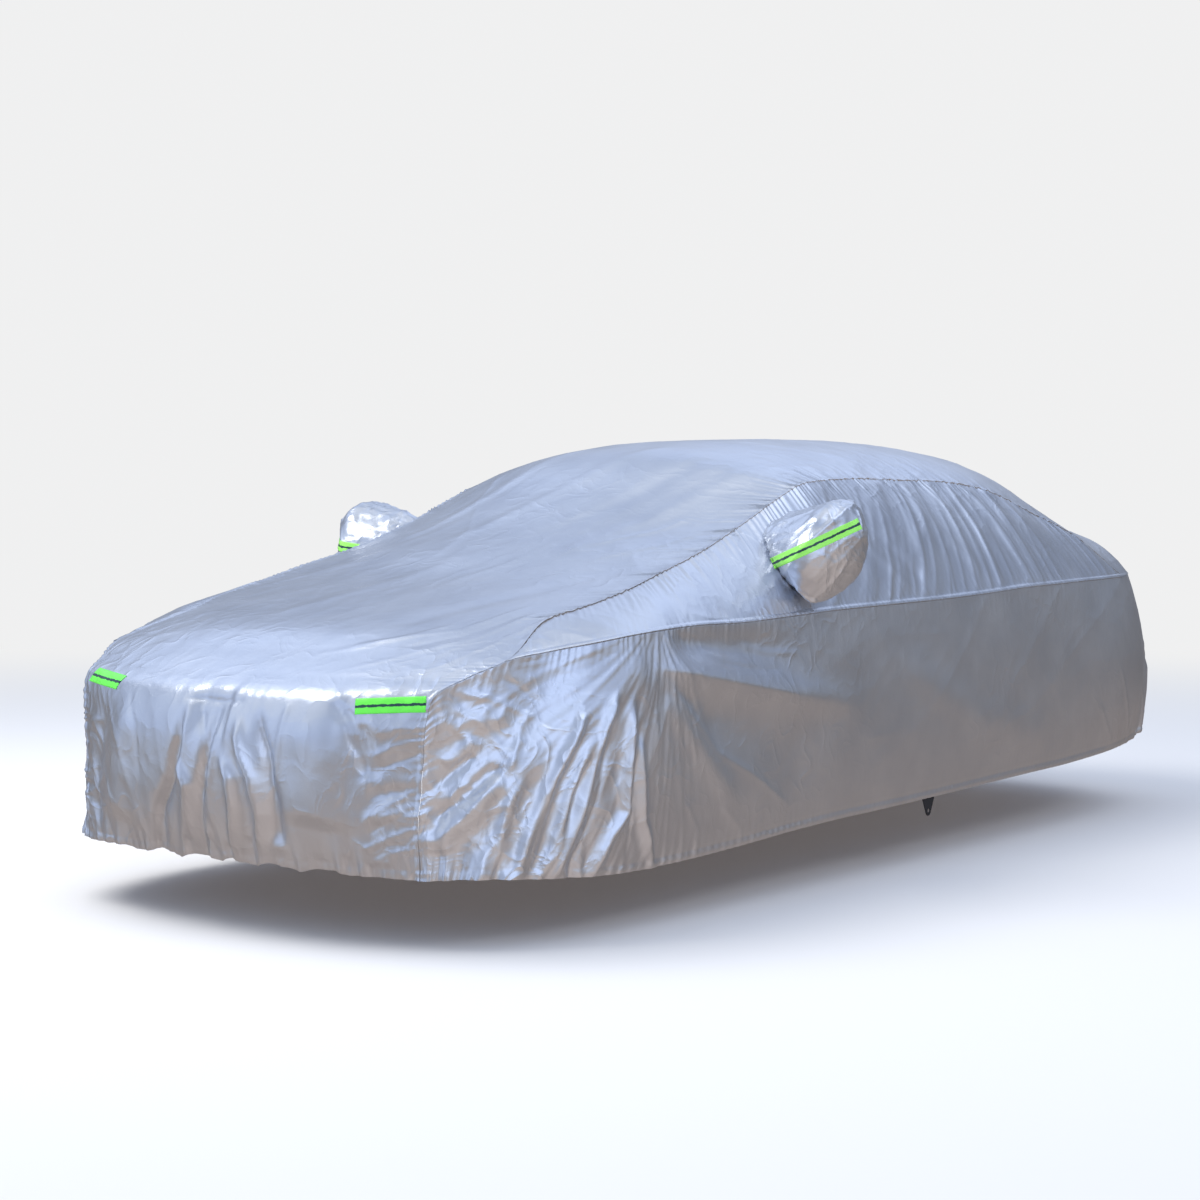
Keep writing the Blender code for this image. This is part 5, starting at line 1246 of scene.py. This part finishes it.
def surroundings(scene):
    """World light that the film mirrors: the table of heights, made darker or lighter by direction."""
    scene.world = bpy.data.worlds.new("surroundings")
    scene.world.use_nodes = True
    tree = scene.world.node_tree
    way = node(tree, "TexCoord", {}).outputs["Generated"]
    level = node(tree, "SeparateXYZ", {"Vector": way}).outputs["Z"]
    for direction, change, start in LOW_HORIZON:
        level = added(tree, level, facing_share(tree, way, direction, start, change))
    share = node(tree, "MapRange", {"Value": level, "From Min": -1.0})
    ramp = node(tree, "ValToRGB", {"Fac": share.outputs["Result"]})
    stops = ramp.color_ramp.elements
    while len(stops) < len(SURROUNDINGS):
        stops.new(0.5)
    for stop, (sine, colour) in zip(stops, SURROUNDINGS):
        stop.position = (sine + 1) / 2
        stop.color = (*colour, 1)
    strength = 1.0
    for direction, change, start in SIDES:
        strength = added(tree, strength, facing_share(tree, way, direction, start, change))
    connect(tree, tree.nodes["Background"], {"Color": ramp.outputs["Color"], "Strength": strength})


def lamps(scene):
    for name, place, size, power, colour, mirrored_by_film in LIGHTS:
        lamp = bpy.data.lights.new(name, "AREA")
        lamp.shape = "RECTANGLE"
        lamp.size, lamp.size_y = size
        lamp.energy = power
        lamp.color = colour
        obj = bpy.data.objects.new(name, lamp)
        obj.location = place
        obj.rotation_euler = (Vector(LAMP_AIM) - Vector(place)).to_track_quat("-Z", "Y").to_euler()
        obj.visible_glossy = mirrored_by_film
        scene.collection.objects.link(obj)


def camera(scene, focal_length):
    lens = bpy.data.cameras.new("camera")
    lens.lens = focal_length
    lens.sensor_width = 36.0
    lens.clip_end = 200
    yaw, pitch, roll = (CAMERA_TURN[k] for k in ("yaw", "pitch", "roll"))
    ahead = Vector((math.cos(pitch) * math.cos(yaw), math.cos(pitch) * math.sin(yaw), math.sin(pitch)))
    right = ahead.cross(Vector((0, 0, 1))).normalized()
    up = right.cross(ahead)
    side_way = right * math.cos(roll) + up * math.sin(roll)
    up_way = up * math.cos(roll) - right * math.sin(roll)
    turn = Matrix((side_way, up_way, -ahead)).transposed().to_4x4()
    obj = bpy.data.objects.new("camera", lens)
    obj.matrix_world = Matrix.Translation(CAMERA_PLACE) @ turn
    scene.collection.objects.link(obj)
    scene.camera = obj


# Settings and operators ----------------------------------------------------------------------------------

class CoverClothSettings(bpy.types.PropertyGroup):
    colour: FloatVectorProperty(
        name="Cloth colour", description="Colour of the silver coating", subtype="COLOR",
        size=3, min=0, max=1, default=(0.74, 0.77, 0.82),
    )
    roughness: FloatProperty(
        name="Roughness", description="How dull the coating is", default=0.30, min=0, max=1,
    )


class CoverTrimSettings(bpy.types.PropertyGroup):
    green: FloatVectorProperty(
        name="Strip colour", description="Green of the reflective strips", subtype="COLOR",
        size=3, min=0, max=1, default=(0.16, 0.92, 0.08),
    )
    pale_green: FloatVectorProperty(
        name="Pocket strip colour", description="Paler green of the strips on the pockets", subtype="COLOR",
        size=3, min=0, max=1, default=(0.36, 0.95, 0.14),
    )
    line_colour: FloatVectorProperty(
        name="Line colour", description="Dark line along the middle of a strip", subtype="COLOR",
        size=3, min=0, max=1, default=(0.01, 0.05, 0.05),
    )
    line_width: FloatProperty(
        name="Line half width", description="Half the width of the dark line", subtype="DISTANCE",
        unit="LENGTH", default=0.0044, min=0, max=0.01,
    )
    front_width: FloatProperty(
        name="Front strip width", description="Width of the strips on the nose", subtype="DISTANCE",
        unit="LENGTH", default=0.042, min=0.01, max=0.1,
    )
    mirror_width: FloatProperty(
        name="Pocket strip width", description="Width of the strips on the pockets", subtype="DISTANCE",
        unit="LENGTH", default=0.036, min=0.01, max=0.1,
    )
    webbing: FloatVectorProperty(
        name="Tab colour", description="Colour of the webbing tab", subtype="COLOR",
        size=3, min=0, max=1, default=(0.012, 0.012, 0.014),
    )


class CoverStageSettings(bpy.types.PropertyGroup):
    floor: FloatVectorProperty(
        name="Floor colour", description="Colour of the floor and the backdrop", subtype="COLOR",
        size=3, min=0, max=1, default=(0.86, 0.845, 0.82),
    )
    lens: FloatProperty(
        name="Lens", description="Focal length on a 36 mm frame", default=67.2, min=10, max=300,
    )


def silver_sheet(name, solid, points, flip, uv, drop=None, crumple=None):
    """Makes one piece of the silver cloth from its grid and puts it on the frame."""
    look = bpy.data.materials.get("silver_film") or silver_film(bpy.context.scene.cover_cloth)
    crumple = crumpled(points) if crumple is None else crumple
    return laid(grid_mesh(name, points, flip, uv, drop, crumple), look, solid)


class COVER_OT_centre(bpy.types.Operator):
    """Lay the long centre panel: front hem, nose, bonnet, screens, roof and rear deck"""
    bl_idname = "cover.centre"
    bl_label = "Centre panel"

    def execute(self, context):
        points, uv = centre_grid()
        obj = silver_sheet("cloth_centre", "centre_panel", points, True, uv)
        return {"FINISHED"}


class COVER_OT_bands(bpy.types.Operator):
    """Lay the two window band panels, open behind the mirror pockets"""
    bl_idname = "cover.bands"
    bl_label = "Window bands"

    def execute(self, context):
        for sign, tag in HALVES:
            points, uv = band_grid(sign)
            opening = pocket_mouth(points)
            obj = silver_sheet("cloth_band_" + tag, "band_" + tag, points, sign < 0, uv, opening)
        return {"FINISHED"}


class COVER_OT_skirts(bpy.types.Operator):
    """Lay the two skirts, from the front corner seams round to the middle of the back"""
    bl_idname = "cover.skirts"
    bl_label = "Skirts"

    def execute(self, context):
        for sign, tag in HALVES:
            points, uv = skirt_grid(sign)
            obj = silver_sheet("cloth_skirt_" + tag, "skirt_" + tag, points, sign < 0, uv)
        return {"FINISHED"}


class COVER_OT_pockets(bpy.types.Operator):
    """Sew the two mirror pockets onto the window bands"""
    bl_idname = "cover.pockets"
    bl_label = "Mirror pockets"

    def execute(self, context):
        pieces = bpy.data.objects
        for sign, tag in HALVES:
            whole_band = grid_mesh("guide", band_grid(sign)[0], sign < 0)
            tree = tree_of(whole_band, pieces["cloth_skirt_" + tag], pieces["cloth_centre"])
            points, uv = pocket_grid(tree, sign)
            pieces.remove(whole_band)
            crumple = np.full(points.shape[:2], POCKET_CRUMPLE)
            solid = "mirror_pocket_" + tag
            obj = silver_sheet("cloth_pocket_" + tag, solid, points, sign < 0, uv, crumple=crumple)
        return {"FINISHED"}


class COVER_OT_strips(bpy.types.Operator):
    """Sew the reflective strips onto the nose and the pockets"""
    bl_idname = "cover.strips"
    bl_label = "Reflective strips"

    def execute(self, context):
        trim = context.scene.cover_trim
        look = green_film(trim, "green_film", trim.green)
        pale_look = green_film(trim, "green_film_pale", trim.pale_green)
        pieces = bpy.data.objects
        nose = tree_of(pieces["cloth_centre"])
        for sign, tag in HALVES:
            places = [np.array((3.0, sign * y, z)) - ORIGIN for y, z in STRIP_FRONT[tag]]
            ends = [cast(nose, place, (-1, 0, 0))[0] for place in places]
            facing = FRONT_FACING * (1, sign, 1)
            obj, length = strip_mesh("tape_front_" + tag, nose, *ends, trim.front_width, facing)
            laid(obj, look, "strip_front_" + tag)
            pocket = tree_of(pieces["cloth_pocket_" + tag], pieces["cloth_band_" + tag])
            ends = [np.array(e) * (1, sign, 1) - ORIGIN for e in STRIP_MIRROR[tag]]
            facing = POCKET_FACING * (1, sign, 1)
            obj, length = strip_mesh("tape_pocket_" + tag, pocket, *ends, trim.mirror_width, facing)
            laid(obj, pale_look, "strip_mirror_" + tag)
            obj.visible_glossy = False
        return {"FINISHED"}


class COVER_OT_tab(bpy.types.Operator):
    """Sew the webbing tab with its eyelet behind the left hem"""
    bl_idname = "cover.tab"
    bl_label = "Hem tab"

    def execute(self, context):
        look = black_webbing(context.scene.cover_trim)
        obj = laid(tab_mesh("webbing_tab"), look, "hem_tab")
        return {"FINISHED"}


class COVER_OT_stage(bpy.types.Operator):
    """Set the pale floor, the backdrop, the soft studio light and the camera"""
    bl_idname = "cover.stage"
    bl_label = "Stage"

    def execute(self, context):
        scene = context.scene
        floor_and_backdrop(backdrop_paper(scene.cover_stage.floor))
        surroundings(scene)
        lamps(scene)
        camera(scene, scene.cover_stage.lens)
        scene.view_settings.view_transform = "Standard"
        return {"FINISHED"}


OPERATORS = (
    COVER_OT_centre, COVER_OT_bands, COVER_OT_skirts, COVER_OT_pockets,
    COVER_OT_strips, COVER_OT_tab, COVER_OT_stage,
)


class COVER_PT_main(bpy.types.Panel):
    bl_idname = "COVER_PT_main"
    bl_label = "Fitted cover"
    bl_space_type = "VIEW_3D"
    bl_region_type = "UI"
    bl_category = "Cover"

    def draw(self, context):
        layout = self.layout
        for group in (context.scene.cover_cloth, context.scene.cover_trim, context.scene.cover_stage):
            box = layout.box()
            for name in group.__annotations__:
                box.prop(group, name)
        for operator in OPERATORS:
            layout.operator(operator.bl_idname)


GROUPS = (
    (CoverClothSettings, "cover_cloth"),
    (CoverTrimSettings, "cover_trim"),
    (CoverStageSettings, "cover_stage"),
)


def register():
    for group, name in GROUPS:
        bpy.utils.register_class(group)
        setattr(bpy.types.Scene, name, PointerProperty(type=group))
    for operator in OPERATORS:
        bpy.utils.register_class(operator)
    bpy.utils.register_class(COVER_PT_main)


def unregister():
    bpy.utils.unregister_class(COVER_PT_main)
    for operator in reversed(OPERATORS):
        bpy.utils.unregister_class(operator)
    for group, name in reversed(GROUPS):
        delattr(bpy.types.Scene, name)
        bpy.utils.unregister_class(group)


def main():
    register()
    bpy.ops.cover.centre()
    bpy.ops.cover.bands()
    bpy.ops.cover.skirts()
    bpy.ops.cover.pockets()
    bpy.ops.cover.strips()
    bpy.ops.cover.tab()
    bpy.ops.cover.stage()
    bpy.context.view_layer.update()


if __name__ == "__main__":
    main()
